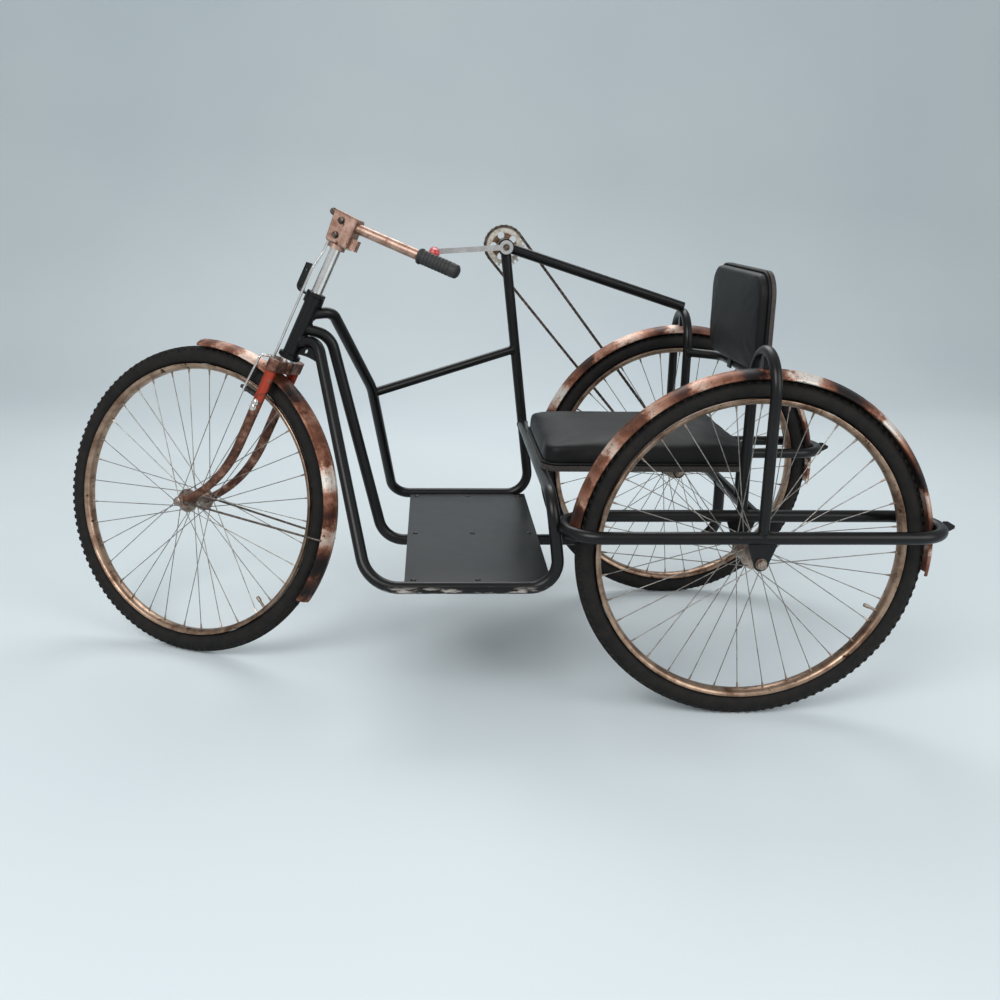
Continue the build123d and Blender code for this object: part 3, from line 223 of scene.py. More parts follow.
def thickened(line, radius, resolution, capped=False, swelling=None):
    """A drawn line made a round rod, its thickness varied by each point's number and place."""
    bpy.ops.object.mode_set(mode="OBJECT")
    select_only(line)
    bpy.ops.object.convert(target="CURVE")
    line.data.bevel_depth = radius
    line.data.bevel_resolution = resolution
    line.data.use_fill_caps = capped
    if swelling:
        for index, point in enumerate(line.data.splines[0].points):
            point.radius = swelling(index, point.co)
    bpy.ops.object.convert(target="MESH")
    return line


def select_where(piece, kind, test):
    """Go into edit mode with only the vertices, edges or faces that pass a test on their middle."""
    select_only(piece)
    bpy.ops.object.mode_set(mode="EDIT")
    bpy.ops.mesh.select_mode(type=kind)
    bpy.ops.mesh.select_all(action="DESELECT")
    bpy.ops.object.mode_set(mode="OBJECT")
    mesh = piece.data
    if kind == "VERT":
        for vertex in mesh.vertices:
            vertex.select = test(vertex.co)
    elif kind == "EDGE":
        for edge in mesh.edges:
            ends = [mesh.vertices[index].co for index in edge.vertices]
            edge.select = test(ends[0], ends[1])
    else:
        for face in mesh.polygons:
            face.select = test(face.center, face.normal)
    bpy.ops.object.mode_set(mode="EDIT")


def copy_of(piece, name):
    """A copy with its own mesh."""
    select_only(piece)
    bpy.ops.object.duplicate(linked=False)
    copy = bpy.context.object
    copy.name = name
    return copy


def set_down(piece, place):
    """Move a piece to its place and apply it, so that the place is in the mesh."""
    piece.matrix_world = place
    select_only(piece)
    bpy.ops.object.transform_apply(location=True, rotation=True, scale=True)
    return piece


def joined(name, pieces):
    """Several pieces made one."""
    select_only(*pieces)
    if len(pieces) > 1:
        bpy.ops.object.join()
    bpy.context.object.name = name
    return bpy.context.object


def along(start, direction):
    """A place at a point, with its Z axis along a direction."""
    turn = Vector((0, 0, 1)).rotation_difference(Vector(direction).normalized())
    return Matrix.Translation(start) @ turn.to_matrix().to_4x4()


def apply_modifier(piece, kind, **settings):
    """Add a modifier, set it and apply it."""
    select_only(piece)
    bpy.ops.object.modifier_add(type=kind)
    modifier = piece.modifiers[-1]
    for key, value in settings.items():
        setattr(modifier, key, value)
    bpy.ops.object.modifier_apply(modifier=modifier.name)


def keep(piece, body, slot, finish, *replaced, angle=35):
    """Shade a finished piece, give it its finish and let it ride on a body."""
    select_only(piece)
    bpy.ops.object.shade_smooth_by_angle(angle=radians(angle))
    piece.data.materials.clear()
    piece.data.materials.append(finish)
    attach(piece, body)
    if replaced:
        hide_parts(*replaced)
    return piece


# Finishes


class Finish:
    """A material whose patterns are laid on Object coordinates."""

    def __init__(self, name, colour, roughness, metallic=0.0, **sockets):
        self.material = bpy.data.materials.new(name)
        self.material.use_nodes = True
        self.tree = self.material.node_tree
        self.shader = self.tree.nodes["Principled BSDF"]
        self.place = self.tree.nodes.new("ShaderNodeTexCoord").outputs["Object"]
        self.set("Base Color", (*colour, 1))
        self.set("Roughness", roughness)
        self.set("Metallic", metallic)
        for socket, value in sockets.items():
            self.set(socket.replace("_", " "), value)

    def set(self, socket, value):
        """Set one of the shader's own sockets."""
        self.shader.inputs[socket].default_value = value

    def link(self, source, target):
        """Join two sockets."""
        self.tree.links.new(source, target)

    def feed(self, source, socket):
        """Drive one of the shader's sockets from a pattern."""
        self.link(source, self.shader.inputs[socket])

    def add(self, kind, inputs, **settings):
        """A node with its settings, each input given a value or joined to a source."""
        node = self.tree.nodes.new("ShaderNode" + kind)
        for key, value in settings.items():
            setattr(node, key, value)
        for socket, value in inputs.items():
            if isinstance(value, bpy.types.NodeSocket):
                self.link(value, node.inputs[socket])
            else:
                node.inputs[socket].default_value = value
        return node

    def stretched(self, scale):
        """Object coordinates stretched."""
        return self.add("Mapping", {"Vector": self.place, "Scale": scale}).outputs["Vector"]

    def noise(self, scale, detail=4.0, rough=0.55, place=None):
        """Cloudy noise."""
        inputs = {"Vector": place or self.place, "Scale": scale, "Detail": detail, "Roughness": rough}
        return self.add("TexNoise", inputs).outputs["Fac"]

    def strip_noise(self, reach):
        """Noise along a line, by how far along it a point lies."""
        inputs = {"W": reach, "Scale": 1.0, "Detail": 2.0}
        return self.add("TexNoise", inputs, noise_dimensions="1D").outputs["Fac"]

    def cells(self, scale):
        """A pattern of cells."""
        return self.add("TexVoronoi", {"Vector": self.place, "Scale": scale}).outputs["Distance"]

    def ramp(self, source, *stops):
        """Colours along a pattern's strength."""
        node = self.add("ValToRGB", {"Fac": source})
        marks = node.color_ramp.elements
        while len(marks) < len(stops):
            marks.new(0.5)
        for mark, (position, colour) in zip(marks, stops):
            mark.position = position
            mark.color = (*colour, 1)
        return node.outputs["Color"]

    def step(self, source, low, high):
        """A soft step from 0 to 1 between two strengths."""
        inputs = {"Value": source, "From Min": low, "From Max": high}
        return self.add("MapRange", inputs, interpolation_type="SMOOTHSTEP").outputs["Result"]

    def span(self, source, low, high):
        """A pattern of 0 to 1 brought between two values."""
        return self.add("MapRange", {"Value": source, "To Min": low, "To Max": high}).outputs["Result"]

    def clouded(self, pattern, dark, pale, rough):
        """Colour and roughness from one pattern."""
        self.feed(self.ramp(pattern, dark, pale), "Base Color")
        self.feed(self.span(pattern, *rough), "Roughness")

    def combined(self, operation, first, second):
        """Two patterns, or a pattern and a number, put together."""
        return self.add("Math", {0: first, 1: second}, operation=operation).outputs["Value"]

    def times(self, first, second):
        """Two patterns multiplied."""
        return self.combined("MULTIPLY", first, second)

    def plus(self, first, second):
        """Two patterns added."""
        return self.combined("ADD", first, second)

    def mixed(self, share, first, second):
        """One colour over another, by a pattern."""
        under, over = ((*value, 1) if isinstance(value, tuple) else value for value in (first, second))
        return self.add("Mix", {"Factor": share, 6: under, 7: over}, data_type="RGBA").outputs[2]

    def vectors(self, operation, first, second):
        """The node that puts two vectors together."""
        return self.add("VectorMath", {0: first, 1: second}, operation=operation)

    def height_along(self, direction, start):
        """How far a point lies along a direction from a start, in metres."""
        reach = self.vectors("SUBTRACT", self.place, start).outputs["Vector"]
        return self.vectors("DOT_PRODUCT", reach, direction).outputs["Value"]

    def distance_from(self, centre, scale):
        """How far a point lies from a centre, with some axes left out by a scale of nought."""
        reach = self.vectors("SUBTRACT", self.place, centre).outputs["Vector"]
        flat = self.vectors("MULTIPLY", reach, scale).outputs["Vector"]
        return self.add("VectorMath", {0: flat}, operation="LENGTH").outputs["Value"]

    def bumped(self, height, strength, distance):
        """Relief from a pattern."""
        node = self.add("Bump", {"Height": height, "Strength": strength, "Distance": distance})
        self.feed(node.outputs["Normal"], "Normal")


BLACK = (0.0028, 0.0027, 0.0027)
DUSTY_BLACK = (0.0085, 0.0076, 0.0070)
BARE_STEEL = (0.42, 0.38, 0.34)
RUST = (0.13, 0.055, 0.028)


def black_enamel():
    """Worn gloss black paint with faint dust and chips down to rust."""
    paint = Finish("black_enamel", BLACK, 0.34, Specular_IOR_Level=0.26, Coat_Weight=0.06, Coat_Roughness=0.16)
    cloud = paint.noise(9, 5)
    chips = paint.step(paint.noise(70, 6, 0.7), 0.69, 0.73)
    dusty = paint.mixed(paint.step(cloud, 0.45, 0.8), BLACK, DUSTY_BLACK)
    paint.feed(paint.mixed(chips, dusty, RUST), "Base Color")
    paint.feed(paint.span(cloud, 0.2, 0.5), "Roughness")
    paint.bumped(paint.noise(240, 3), 0.08, 0.0006)
    return paint.material


def scuffed_enamel():
    """Black paint that shoes have rubbed through along the low run of the side tube."""
    paint = Finish("scuffed_enamel", BLACK, 0.36, Specular_IOR_Level=0.26, Coat_Weight=0.06, Coat_Roughness=0.2)
    streaks = paint.noise(1.0, 6, 0.65, paint.stretched((22, 120, 120)))
    low_run = paint.step(paint.height_along((0, 0, 1), (0, 0, 0)), 0.288, 0.274)
    bare = paint.times(paint.step(streaks, 0.5, 0.6), low_run)
    cloud = paint.noise(9, 5)
    dusty = paint.mixed(paint.step(cloud, 0.45, 0.8), BLACK, DUSTY_BLACK)
    paint.feed(paint.mixed(bare, dusty, BARE_STEEL), "Base Color")
    paint.feed(paint.span(cloud, 0.22, 0.5), "Roughness")
    paint.bumped(paint.noise(240, 3), 0.08, 0.0006)
    return paint.material


def tyre_rubber():
    """Dull black rubber, browner with road dust in its pores."""
    rubber = Finish("tyre_rubber", (0.012, 0.012, 0.012), 0.75, Specular_IOR_Level=0.22)
    dust = rubber.noise(45, 5, 0.6)
    rubber.clouded(dust, (0.3, (0.004, 0.004, 0.004)), (0.75, (0.017, 0.014, 0.012)), (0.6, 0.9))
    rubber.bumped(rubber.noise(700, 2), 0.25, 0.0004)
    return rubber.material


def plated(name, bright, dull, stain, patch_scale, rough=(0.22, 0.5), stain_from=0.58):
    """Old plating: bright and dull clouds with darker stains and fine pitting."""
    metal = Finish(name, bright, 0.3, 0.9)
    cloud = metal.noise(patch_scale, 6, 0.62)
    stains = metal.step(metal.noise(patch_scale * 2.6, 7, 0.68), stain_from, stain_from + 0.09)
    colour = metal.ramp(cloud, (0.35, dull), (0.62, bright))
    metal.feed(metal.mixed(stains, colour, stain), "Base Color")
    metal.feed(metal.span(cloud, rough[1], rough[0]), "Roughness")
    metal.bumped(metal.noise(420, 4, 0.7), 0.12, 0.0005)
    return metal.material


def guard_plating(name, hub, forward, upward, turn):
    """Mudguard plating banded across the strip by painted reflections that follow the angle round the hub: pale for
    sky, pink coppery and red brown for the reddish ground, and near black; fine grain and dark streaks are the
    metal's own.
    """
    metal = Finish(name, (0.42, 0.28, 0.21), 0.42, 0.6)
    ahead = metal.height_along(forward, hub)
    above = metal.height_along(upward, hub)
    angle = metal.combined("ARCTAN2", above, ahead)
    grain = metal.noise(46, 6, 0.72)
    wander = metal.plus(metal.plus(angle, turn), metal.times(grain, 0.22))
    reflection_bands = metal.strip_noise(metal.times(wander, 3.4))
    # Painted reflection: this ramp gives the guard pale, pink coppery, red brown and near black stripes, as if sky
    # and reddish ground were mirrored in it.
    colour = metal.ramp(
        metal.plus(metal.times(reflection_bands, 0.80), metal.times(grain, 0.20)),
        (0.33, (0.010, 0.006, 0.005)),
        (0.42, (0.060, 0.020, 0.011)),
        (0.49, (0.19, 0.070, 0.038)),
        (0.54, (0.36, 0.18, 0.12)),
        (0.60, (0.60, 0.44, 0.36)),
        (0.70, (0.74, 0.68, 0.61)),
    )
    streaks = metal.step(metal.noise(120, 6, 0.8), 0.57, 0.64)
    metal.feed(metal.mixed(streaks, colour, (0.026, 0.012, 0.008)), "Base Color")
    metal.feed(metal.span(grain, 0.3, 0.66), "Roughness")
    metal.bumped(metal.noise(300, 4, 0.7), 0.15, 0.0006)
    return metal.material


def fork_plating():
    """Mottled brown plating whose coppery tint is a painted reflection of the reddish ground, with red painted tops
    to the blades, just under the crown.
    """
    metal = Finish("fork_plating", (0.20, 0.10, 0.06), 0.45, 0.5)
    cloud = metal.noise(38, 7, 0.72)
    # Painted reflection: the coppery browns stand for reddish ground mirrored in the plating; the mottling between
    # them is random.
    coppery_reflection = metal.ramp(
        cloud,
        (0.34, (0.014, 0.007, 0.005)),
        (0.46, (0.085, 0.032, 0.019)),
        (0.58, (0.20, 0.095, 0.060)),
        (0.72, (0.50, 0.36, 0.28)),
    )
    height = metal.height_along(UPRIGHT, place_of("steering"))
    uneven = metal.plus(height, metal.times(metal.noise(60, 3), 0.012))
    red_top = metal.times(metal.step(uneven, 0.284, 0.292), metal.step(uneven, 0.384, 0.372))
    worn = metal.times(red_top, metal.step(metal.noise(70, 7, 0.75), 0.57, 0.47))
    metal.feed(metal.mixed(worn, coppery_reflection, (0.36, 0.040, 0.016)), "Base Color")
    metal.feed(metal.span(cloud, 0.6, 0.34), "Roughness")
    metal.bumped(metal.noise(300, 4, 0.7), 0.14, 0.0006)
    return metal.material


def black_vinyl():
    """Black leathercloth: a fine pebble grain with a soft shine."""
    cloth = Finish("black_vinyl", (0.007, 0.007, 0.0075), 0.5, Specular_IOR_Level=0.2)
    grain = cloth.cells(620)
    cloud = cloth.noise(12, 4)
    cloth.clouded(cloud, (0.3, (0.003, 0.003, 0.0032)), (0.75, (0.0085, 0.008, 0.008)), (0.42, 0.62))
    cloth.bumped(cloth.plus(grain, cloth.times(cloth.noise(30, 3), 0.6)), 0.3, 0.0008)
    return cloth.material


def painted_board():
    """Plywood under thin black paint, its plies and grain just showing."""
    wood = Finish("painted_board", (0.03, 0.026, 0.022), 0.6)
    grain = wood.noise(1.0, 6, 0.6, wood.stretched((300, 14, 300)))
    wood.clouded(grain, (0.35, (0.014, 0.013, 0.012)), (0.7, (0.060, 0.048, 0.038)), (0.5, 0.72))
    wood.bumped(grain, 0.2, 0.0006)
    return wood.material


def chain_steel():
    """Dark oily steel, brown where it has dried."""
    metal = Finish("chain_steel", (0.10, 0.085, 0.075), 0.38, 0.85)
    cloud = metal.noise(120, 5, 0.65)
    metal.clouded(cloud, (0.35, (0.035, 0.028, 0.024)), (0.65, (0.17, 0.135, 0.11)), (0.25, 0.55))
    return metal.material


def chainwheel_finish():
    """Cream plated ring of teeth round a brown disc."""
    metal = Finish("chainwheel_plating", (0.7, 0.66, 0.58), 0.35, 0.7)
    reach = metal.distance_from(place_of("crank_spin"), (1, 0, 1))
    cloud = metal.noise(90, 5, 0.65)
    ring = metal.ramp(cloud, (0.35, (0.46, 0.40, 0.32)), (0.65, (0.80, 0.75, 0.66)))
    disc = metal.ramp(cloud, (0.35, (0.10, 0.05, 0.03)), (0.7, (0.30, 0.17, 0.10)))
    metal.feed(metal.mixed(metal.step(reach, 0.030, 0.034), disc, ring), "Base Color")
    metal.feed(metal.span(cloud, 0.5, 0.25), "Roughness")
    return metal.material


def red_plastic():
    """Red moulded plastic, scuffed dull in places."""
    plastic = Finish("red_plastic", (0.50, 0.018, 0.016), 0.34, Coat_Weight=0.2)
    cloud = plastic.noise(110, 5, 0.6)
    plastic.clouded(cloud, (0.3, (0.34, 0.012, 0.012)), (0.7, (0.58, 0.030, 0.024)), (0.25, 0.5))
    plastic.bumped(plastic.noise(500, 3), 0.1, 0.0004)
    return plastic.material


def grip_rubber():
    """Matt black rubber of the hand grip."""
    rubber = Finish("grip_rubber", (0.014, 0.014, 0.014), 0.62)
    cloud = rubber.noise(90, 4)
    rubber.clouded(cloud, (0.3, (0.010, 0.010, 0.010)), (0.75, (0.026, 0.025, 0.024)), (0.5, 0.78))
    rubber.bumped(rubber.noise(600, 2), 0.15, 0.0004)
    return rubber.material


enamel = black_enamel()
tube_scuffed = scuffed_enamel()
rubber = tyre_rubber()
vinyl = black_vinyl()
board = painted_board()
oily = chain_steel()
ring_plating = chainwheel_finish()
red = red_plastic()
grip = grip_rubber()
fork_reflected_plating = fork_plating()
# Mudguard plating with painted reflection stripes of sky and reddish ground; each guard's stripes start at a
# different turn.
left_guard_reflected_plating = guard_plating("left_guard_plating", place_of("left_wheel_spin"), (1, 0, 0), (0, 0, 1), 2.1)
right_guard_reflected_plating = guard_plating("right_guard_plating", place_of("right_wheel_spin"), (1, 0, 0), (0, 0, 1), 7.4)
front_guard_reflected_plating = guard_plating("front_guard_plating", place_of("front_wheel_spin"), HEADING, UPRIGHT, 4.6)
# Painted reflection: the coppery tint of the rim plating stands for reddish ground mirrored in plated steel; its
# clouds, stains and pitting are the metal's own.
rim_reflected_plating = plated("rim_plating", (0.40, 0.28, 0.20), (0.13, 0.072, 0.046), (0.035, 0.016, 0.010), 22)
steel = plated("spoke_steel", (0.36, 0.34, 0.31), (0.17, 0.15, 0.135), (0.07, 0.045, 0.034), 40)
hub_metal = plated("hub_steel", (0.42, 0.35, 0.30), (0.18, 0.13, 0.10), (0.06, 0.035, 0.024), 45)
chrome = plated("stem_chrome", (0.80, 0.79, 0.77), (0.58, 0.55, 0.52), (0.22, 0.14, 0.10), 30, (0.10, 0.30), 0.66)
# Painted reflection: the pinkish brown tint of the tiller plating stands for reddish ground mirrored in plated
# steel.
tiller_metal = plated(
    "tiller_plating", (0.50, 0.34, 0.27), (0.25, 0.135, 0.095), (0.075, 0.034, 0.022), 34, (0.3, 0.55)
)

NODE_FINISHES = {
    "black_enamel": enamel,
    "tyre_rubber": rubber,
    "rim_plating": rim_reflected_plating,
    "spoke_steel": steel,
    "hub_steel": hub_metal,
    "guard_plating": left_guard_reflected_plating,
    "fork_plating": fork_reflected_plating,
    "stem_chrome": chrome,
    "tiller_plating": tiller_metal,
    "grip_rubber": grip,
    "handle_red": red,
    "black_vinyl": vinyl,
    "board_wood": board,
    "chain_steel": oily,
}
for subpart in frame["record"]["subparts"]:
    node = nodes[subpart["node"]]
    node.data.materials.clear()
    node.data.materials.append(NODE_FINISHES[subpart["material_slot"]])
nodes["chainwheel"].data.materials[0] = ring_plating
nodes["crank_axle"].data.materials[0] = oily
nodes["guard_stays"].data.materials[0] = oily
nodes["left_side_tube"].data.materials[0] = tube_scuffed


# Wheels


def tyre():
    """A round casing with three ribs, and slanted bars along both shoulders."""
    core = TYRE_RADIUS - 0.0220
    crown = 0.0192
    section = []
    for turn in range(-160, -35, 12):
        bulge = radians(turn)
        section.append((core + crown * cos(bulge), TYRE_HALF_WIDTH * sin(bulge), 0))
    ribs = ((-0.0090, 0.0038), (-0.0072, 0.0038), (-0.0066, 0.0012), (-0.0030, 0.0012), (-0.0024, 0.0))
    section += [(TYRE_RADIUS - depth, side, 0) for side, depth in ribs]
    section += [(reach, -side, 0) for reach, side, _ in reversed(section)]
    casing = turn_on_lathe("tyre_casing", section, WHEEL_STEPS)
    bars = []
    for side in (1, -1):
        bar = box_of((0.005, 0.0085, 0.0095))
        select_where(bar, "FACE", lambda middle, normal: normal.x > 0.5)
        bpy.ops.transform.resize(value=(1, 0.75, 0.7))
        bpy.ops.object.mode_set(mode="OBJECT")
        lean = Matrix.Rotation(side * radians(38), 4, "Z") @ Matrix.Rotation(side * radians(25), 4, "X")
        set_down(bar, Matrix.Translation((TYRE_RADIUS - 0.0065, side * 0.0128, 0)) @ lean)
        bpy.ops.object.mode_set(mode="EDIT")
        bpy.ops.mesh.select_all(action="SELECT")
        offset = 0 if side > 0 else pi / TREAD_BARS
        bpy.ops.mesh.spin(steps=TREAD_BARS, angle=2 * pi, center=(0, 0, 0), axis=(0, 1, 0), dupli=True)
        tidy_faces()
        bpy.ops.object.mode_set(mode="OBJECT")
        set_down(bar, Matrix.Rotation(offset, 4, "Y"))
        bars.append(bar)
    return joined("tyre", [casing, *bars])


def rim():
    """A rolled steel rim: curled edges, flat walls and a rounded crown for the spokes."""
    half = (
        (0.3130, 0.0128),
        (0.3150, 0.0136),
        (0.3164, 0.0145),
        (0.3169, 0.0154),
        (0.3164, 0.0163),
        (0.3150, 0.0167),
        (0.3130, 0.0160),
        (0.3105, 0.0152),
        (0.3080, 0.0126),
        (0.3056, 0.0085),
        (0.3046, 0.0040),
    )
    section = [(reach, side, 0) for reach, side in half]
    section += [(reach, -side, 0) for reach, side in reversed(half)]
    section.append(section[0])
    return turn_on_lathe("rim", section, WHEEL_STEPS)


def nipples():
    """The nuts that hold the spokes in the rim, each in line with its spoke."""
    step = 2 * pi / SPOKE_COUNT
    lean = SPOKE_CROSSES * 2 * step
    made = []
    for index in range(SPOKE_COUNT):
        side = 1 if index % 2 == 0 else -1
        turn = index * step
        hub_turn = turn - lean if index % 4 < 2 else turn + lean
        inner = Vector((SPOKE_HOLE_RADIUS * cos(hub_turn), side * FLANGE_OFFSET, SPOKE_HOLE_RADIUS * sin(hub_turn)))
        outer = Vector((SPOKE_END_RADIUS * cos(turn), side * SPOKE_END_SIDE, SPOKE_END_RADIUS * sin(turn)))
        way = (inner - outer).normalized()
        nipple = start_from(
            bpy.ops.mesh.primitive_cone_add,
            vertices=8,
            radius1=0.0026,
            radius2=0.0015,
            depth=NIPPLE_LENGTH,
            location=(0, 0, NIPPLE_LENGTH / 2),
        )
        made.append(set_down(nipple, along(outer - way * 0.001, way)))
    return joined("nipples", made)


def dress_wheels():
    """Model the tyre, rim and nipples once and set a copy on each wheel."""
    forms = (
        (tyre(), "tyre", "tyre_rubber", rubber, True),
        (rim(), "rim", "rim_plating", rim_reflected_plating, True),
        (nipples(), "nipples", "hub_steel", hub_metal, False),
    )
    for form, part, slot, finish, replacing in forms:
        for side, place in WHEELS.items():
            piece = set_down(copy_of(form, f"{side}_wheel_{part}"), place)
            replaced = [f"{side}_{part}"] if replacing else []
            keep(piece, f"{side}_wheel", slot, finish, *replaced)
        bpy.data.objects.remove(form)


dress_wheels()


# Mudguards


def guard_form(name, angles):
    """A thin strip round the wheel with a round section, a raised middle rib and rolled edges."""
    start, end = (radians(angle) for angle in angles)
    section = []
    for share in range(-12, 13):
        side = share / 12
        rib = 0.0016 * max(0.0, 1 - abs(side) / 0.17)
        drop = GUARD_EDGE_DROP * 1.15 * abs(side) ** 2.2
        section.append(Vector((GUARD_RADIUS - drop + rib, GUARD_HALF_WIDTH * side, 0)))
    for roll in (1, -1):
        edge = section[-1] if roll > 0 else section[0]
        curl = [
            edge + Vector((-0.0030, roll * 0.0004, 0)),
            edge + Vector((-0.0046, -roll * 0.0014, 0)),
            edge + Vector((-0.0030, -roll * 0.0032, 0)),
        ]
        section = section + curl if roll > 0 else curl[::-1] + section
    steps = int((end - start) / radians(2.5))
    guard = turn_on_lathe(name, section, steps, end - start)
    apply_modifier(guard, "SOLIDIFY", thickness=GUARD_SHEET, offset=0.0, use_even_offset=True)
    set_down(guard, Matrix.Rotation(-start, 4, "Y"))
    return guard


def dress_guards():
    """Rear guards for both sides and the front one."""
    rear = guard_form("rear_guard", REAR_GUARD_ANGLES)
    for side in ("left", "right"):
        piece = set_down(copy_of(rear, f"{side}_guard_strip"), WHEELS[side])
        finish = left_guard_reflected_plating if side == "left" else right_guard_reflected_plating
        keep(piece, "frame", "guard_plating", finish, f"{side}_mudguard")
    bpy.data.objects.remove(rear)
    front = set_down(guard_form("front_guard_strip", FRONT_GUARD_ANGLES), WHEELS["front"])
    keep(front, "fork", "guard_plating", front_guard_reflected_plating, "front_mudguard")


dress_guards()


# Chain


def chain_path():
    """The chain's pitch line as runs: each is a length and a function of the way along it."""
    crank = place_of("crank_spin")
    axle = place_of("right_wheel_spin")
    big = CHAIN_PITCH / (2 * sin(pi / CHAINWHEEL_TEETH))
    small = CHAIN_PITCH / (2 * sin(pi / SPROCKET_TEETH))
    span = Vector((crank.x - axle.x, crank.z - axle.z))
    slope = atan2(span.y, span.x)
    wrap = acos((small - big) / span.length)
    straight = (span.length**2 - (big - small) ** 2) ** 0.5
    up_way = slope + wrap - pi / 2
    runs = []

    def straight_run(start, heading, length):
        way = Vector((cos(heading), sin(heading)))
        runs.append((length, lambda reach: (start + way * reach, heading)))

    def arc_run(centre, radius, first, turn):
        def at(reach):
            angle = first - reach / radius
            return centre + radius * Vector((cos(angle), sin(angle))), angle - pi / 2

        runs.append((radius * turn, at))

    low = Vector((axle.x, axle.z))
    high = Vector((crank.x, crank.z))
    out = Vector((cos(slope + wrap), sin(slope + wrap)))
    straight_run(low + out * small, up_way, straight)
    arc_run(high, big, slope + wrap, 2 * wrap)
    back = Vector((cos(slope - wrap), sin(slope - wrap)))
    straight_run(high + back * big, slope - wrap - pi / 2, straight)
    arc_run(low, small, slope - wrap, 2 * pi - 2 * wrap)
    return runs


def link_plate(name, inner_face):
    """Two waisted side plates, one on each side of the chain's middle plane."""
    half = CHAIN_PITCH / 2
    outline = []
    for end in (1, -1):
        for turn in (-60, -20, 20, 60):
            swing = radians(turn) + (0 if end > 0 else pi)
            outline.append((end * half + 0.0042 * cos(swing), 0, 0.0042 * sin(swing)))
        outline.append((0, 0, end * 0.0032))
    plates = []
    for side in (1, -1):
        face = [Vector(point) + Vector((0, side * inner_face, 0)) for point in outline]
        plates.append(cut_plate(name, face, side * PLATE_THICKNESS))
    return joined(name, plates)


def chain():
    """Inner and outer links in turn along the pitch line, with a roller and rivet at every pin."""
    runs = chain_path()
    total = sum(length for length, _ in runs)
    count = 2 * round(total / CHAIN_PITCH / 2)
    low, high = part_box("chain")
    middle = (low.y + high.y) / 2
    inner = link_plate("inner_link", PLATE_INNER_FACE)
    outer = link_plate("outer_link", PLATE_INNER_FACE + PLATE_THICKNESS + 0.0001)
    rivet = start_from(
        bpy.ops.mesh.primitive_cylinder_add, vertices=8, radius=0.0019, depth=0.0118, rotation=(pi / 2, 0, 0)
    )

    def at(reach):
        for length, place in runs:
            if reach <= length:
                point, heading = place(reach)
                return Vector((point.x, middle, point.y)), heading
            reach -= length
        point, heading = runs[0][1](reach)
        return Vector((point.x, middle, point.y)), heading

    made = []
    pins = [at(total * index / count)[0] for index in range(count + 1)]
    for index in range(count):
        here, there = pins[index], pins[index + 1]
        way = there - here
        place = Matrix.Translation((here + there) / 2) @ Matrix.Rotation(-atan2(way.z, way.x), 4, "Y")
        form = outer if index % 2 else inner
        made.append(set_down(copy_of(form, "link"), place))
        made.append(set_down(copy_of(rivet, "rivet"), Matrix.Translation(here)))
    for form in (inner, outer, rivet):
        bpy.data.objects.remove(form)
    return keep(joined("chain_links", made), "frame", "chain_steel", oily, "chain")


chain()


# Fork blades and brake


def bent_rod(name, points, radius, turns=3):
    """A round rod along points, with its corners rounded."""
    rod = draw(name, points)
    bpy.ops.mesh.select_all(action="SELECT")
    bpy.ops.mesh.bevel(offset=radius * 2.5, segments=turns, affect="VERTICES")
    return thickened(rod, radius, 3, capped=True)


def blade(side):
    """A fork blade of oval tube, deep at the crown, that curves forward and ends in a flat eye."""
    foot = Vector((FORK_RAKE, side * FORK_HALF_WIDTH, 0))
    bend = (FORK_RAKE**2 + BLADE_CURVE**2) / (2 * FORK_RAKE)
    points = [Vector((0, side * FORK_HALF_WIDTH, BLADE_TOP))]
    sweep = asin(BLADE_CURVE / bend)
    for index in range(15):
        turn = sweep * index / 14 * 0.985
        points.append(Vector((bend * (1 - cos(turn)), side * FORK_HALF_WIDTH, BLADE_CURVE - bend * sin(turn))))

    def taper(index, spot):
        return 1 - 0.34 * max(0.0, 1 - spot.z / BLADE_TOP) ** 1.4

    tube = thickened(draw("blade", points), BLADE_DEPTH / 2, 5, capped=True, swelling=taper)
    select_where(tube, "VERT", lambda spot: True)
    bpy.ops.transform.resize(
        value=(1, BLADE_WIDTH / BLADE_DEPTH, 1), center_override=(0, side * FORK_HALF_WIDTH, 0)
    )
    bpy.ops.object.mode_set(mode="OBJECT")
    eye = start_from(
        bpy.ops.mesh.primitive_cylinder_add,
        vertices=28,
        radius=TIP_RADIUS,
        depth=0.0058,
        location=foot,
        rotation=(pi / 2, 0, 0),
    )
    apply_modifier(eye, "BEVEL", width=0.0008, segments=2, limit_method="ANGLE")
    return joined("blade", [tube, eye])


def dress_fork():
    """Both blades as one piece."""
    blades = [blade(side) for side in (1, -1)]
    piece = set_down(joined("oval_blades", blades), FORK)
    keep(piece, "fork", "fork_plating", fork_reflected_plating, "fork_blades", angle=50)


def dress_brake():
    """A wire stirrup from the brake rod down both sides of the tyre, with a rubber block inside the rim."""
    turn = radians(BRAKE_ANGLE)
    way = Vector((cos(turn), 0, sin(turn)))
    hub = Vector((FORK_RAKE, 0, 0))
    top = hub + way * STIRRUP_TOP
    knee = hub + way * STIRRUP_KNEE
    across = Vector((0, 1, 0))
    toe = across * STIRRUP_TOE
    half = across * STIRRUP_HALF_WIDTH
    bends = [knee + toe, knee + half, top + half, top - half, knee - half, knee - toe]
    wire = bent_rod("brake_stirrup", bends, STIRRUP_WIRE)
    link = bent_rod("link", [top + across * 0.010, top + Vector((-0.016, 0.0179, 0.006))], 0.0034, 1)
    piece = set_down(joined("brake_stirrup", [wire, link]), FORK)
    keep(piece, "fork", "stem_chrome", chrome, angle=50)
    blocks = []
    for side in (1, -1):
        block = box_of(BLOCK_SIZE)
        apply_modifier(block, "BEVEL", width=0.0014, segments=2)
        spot = hub + way * 0.2975 + across * side * 0.0125
        blocks.append(set_down(block, along(spot, way)))
    piece = set_down(joined("brake_blocks", blocks), FORK)
    keep(piece, "fork", "grip_rubber", grip)


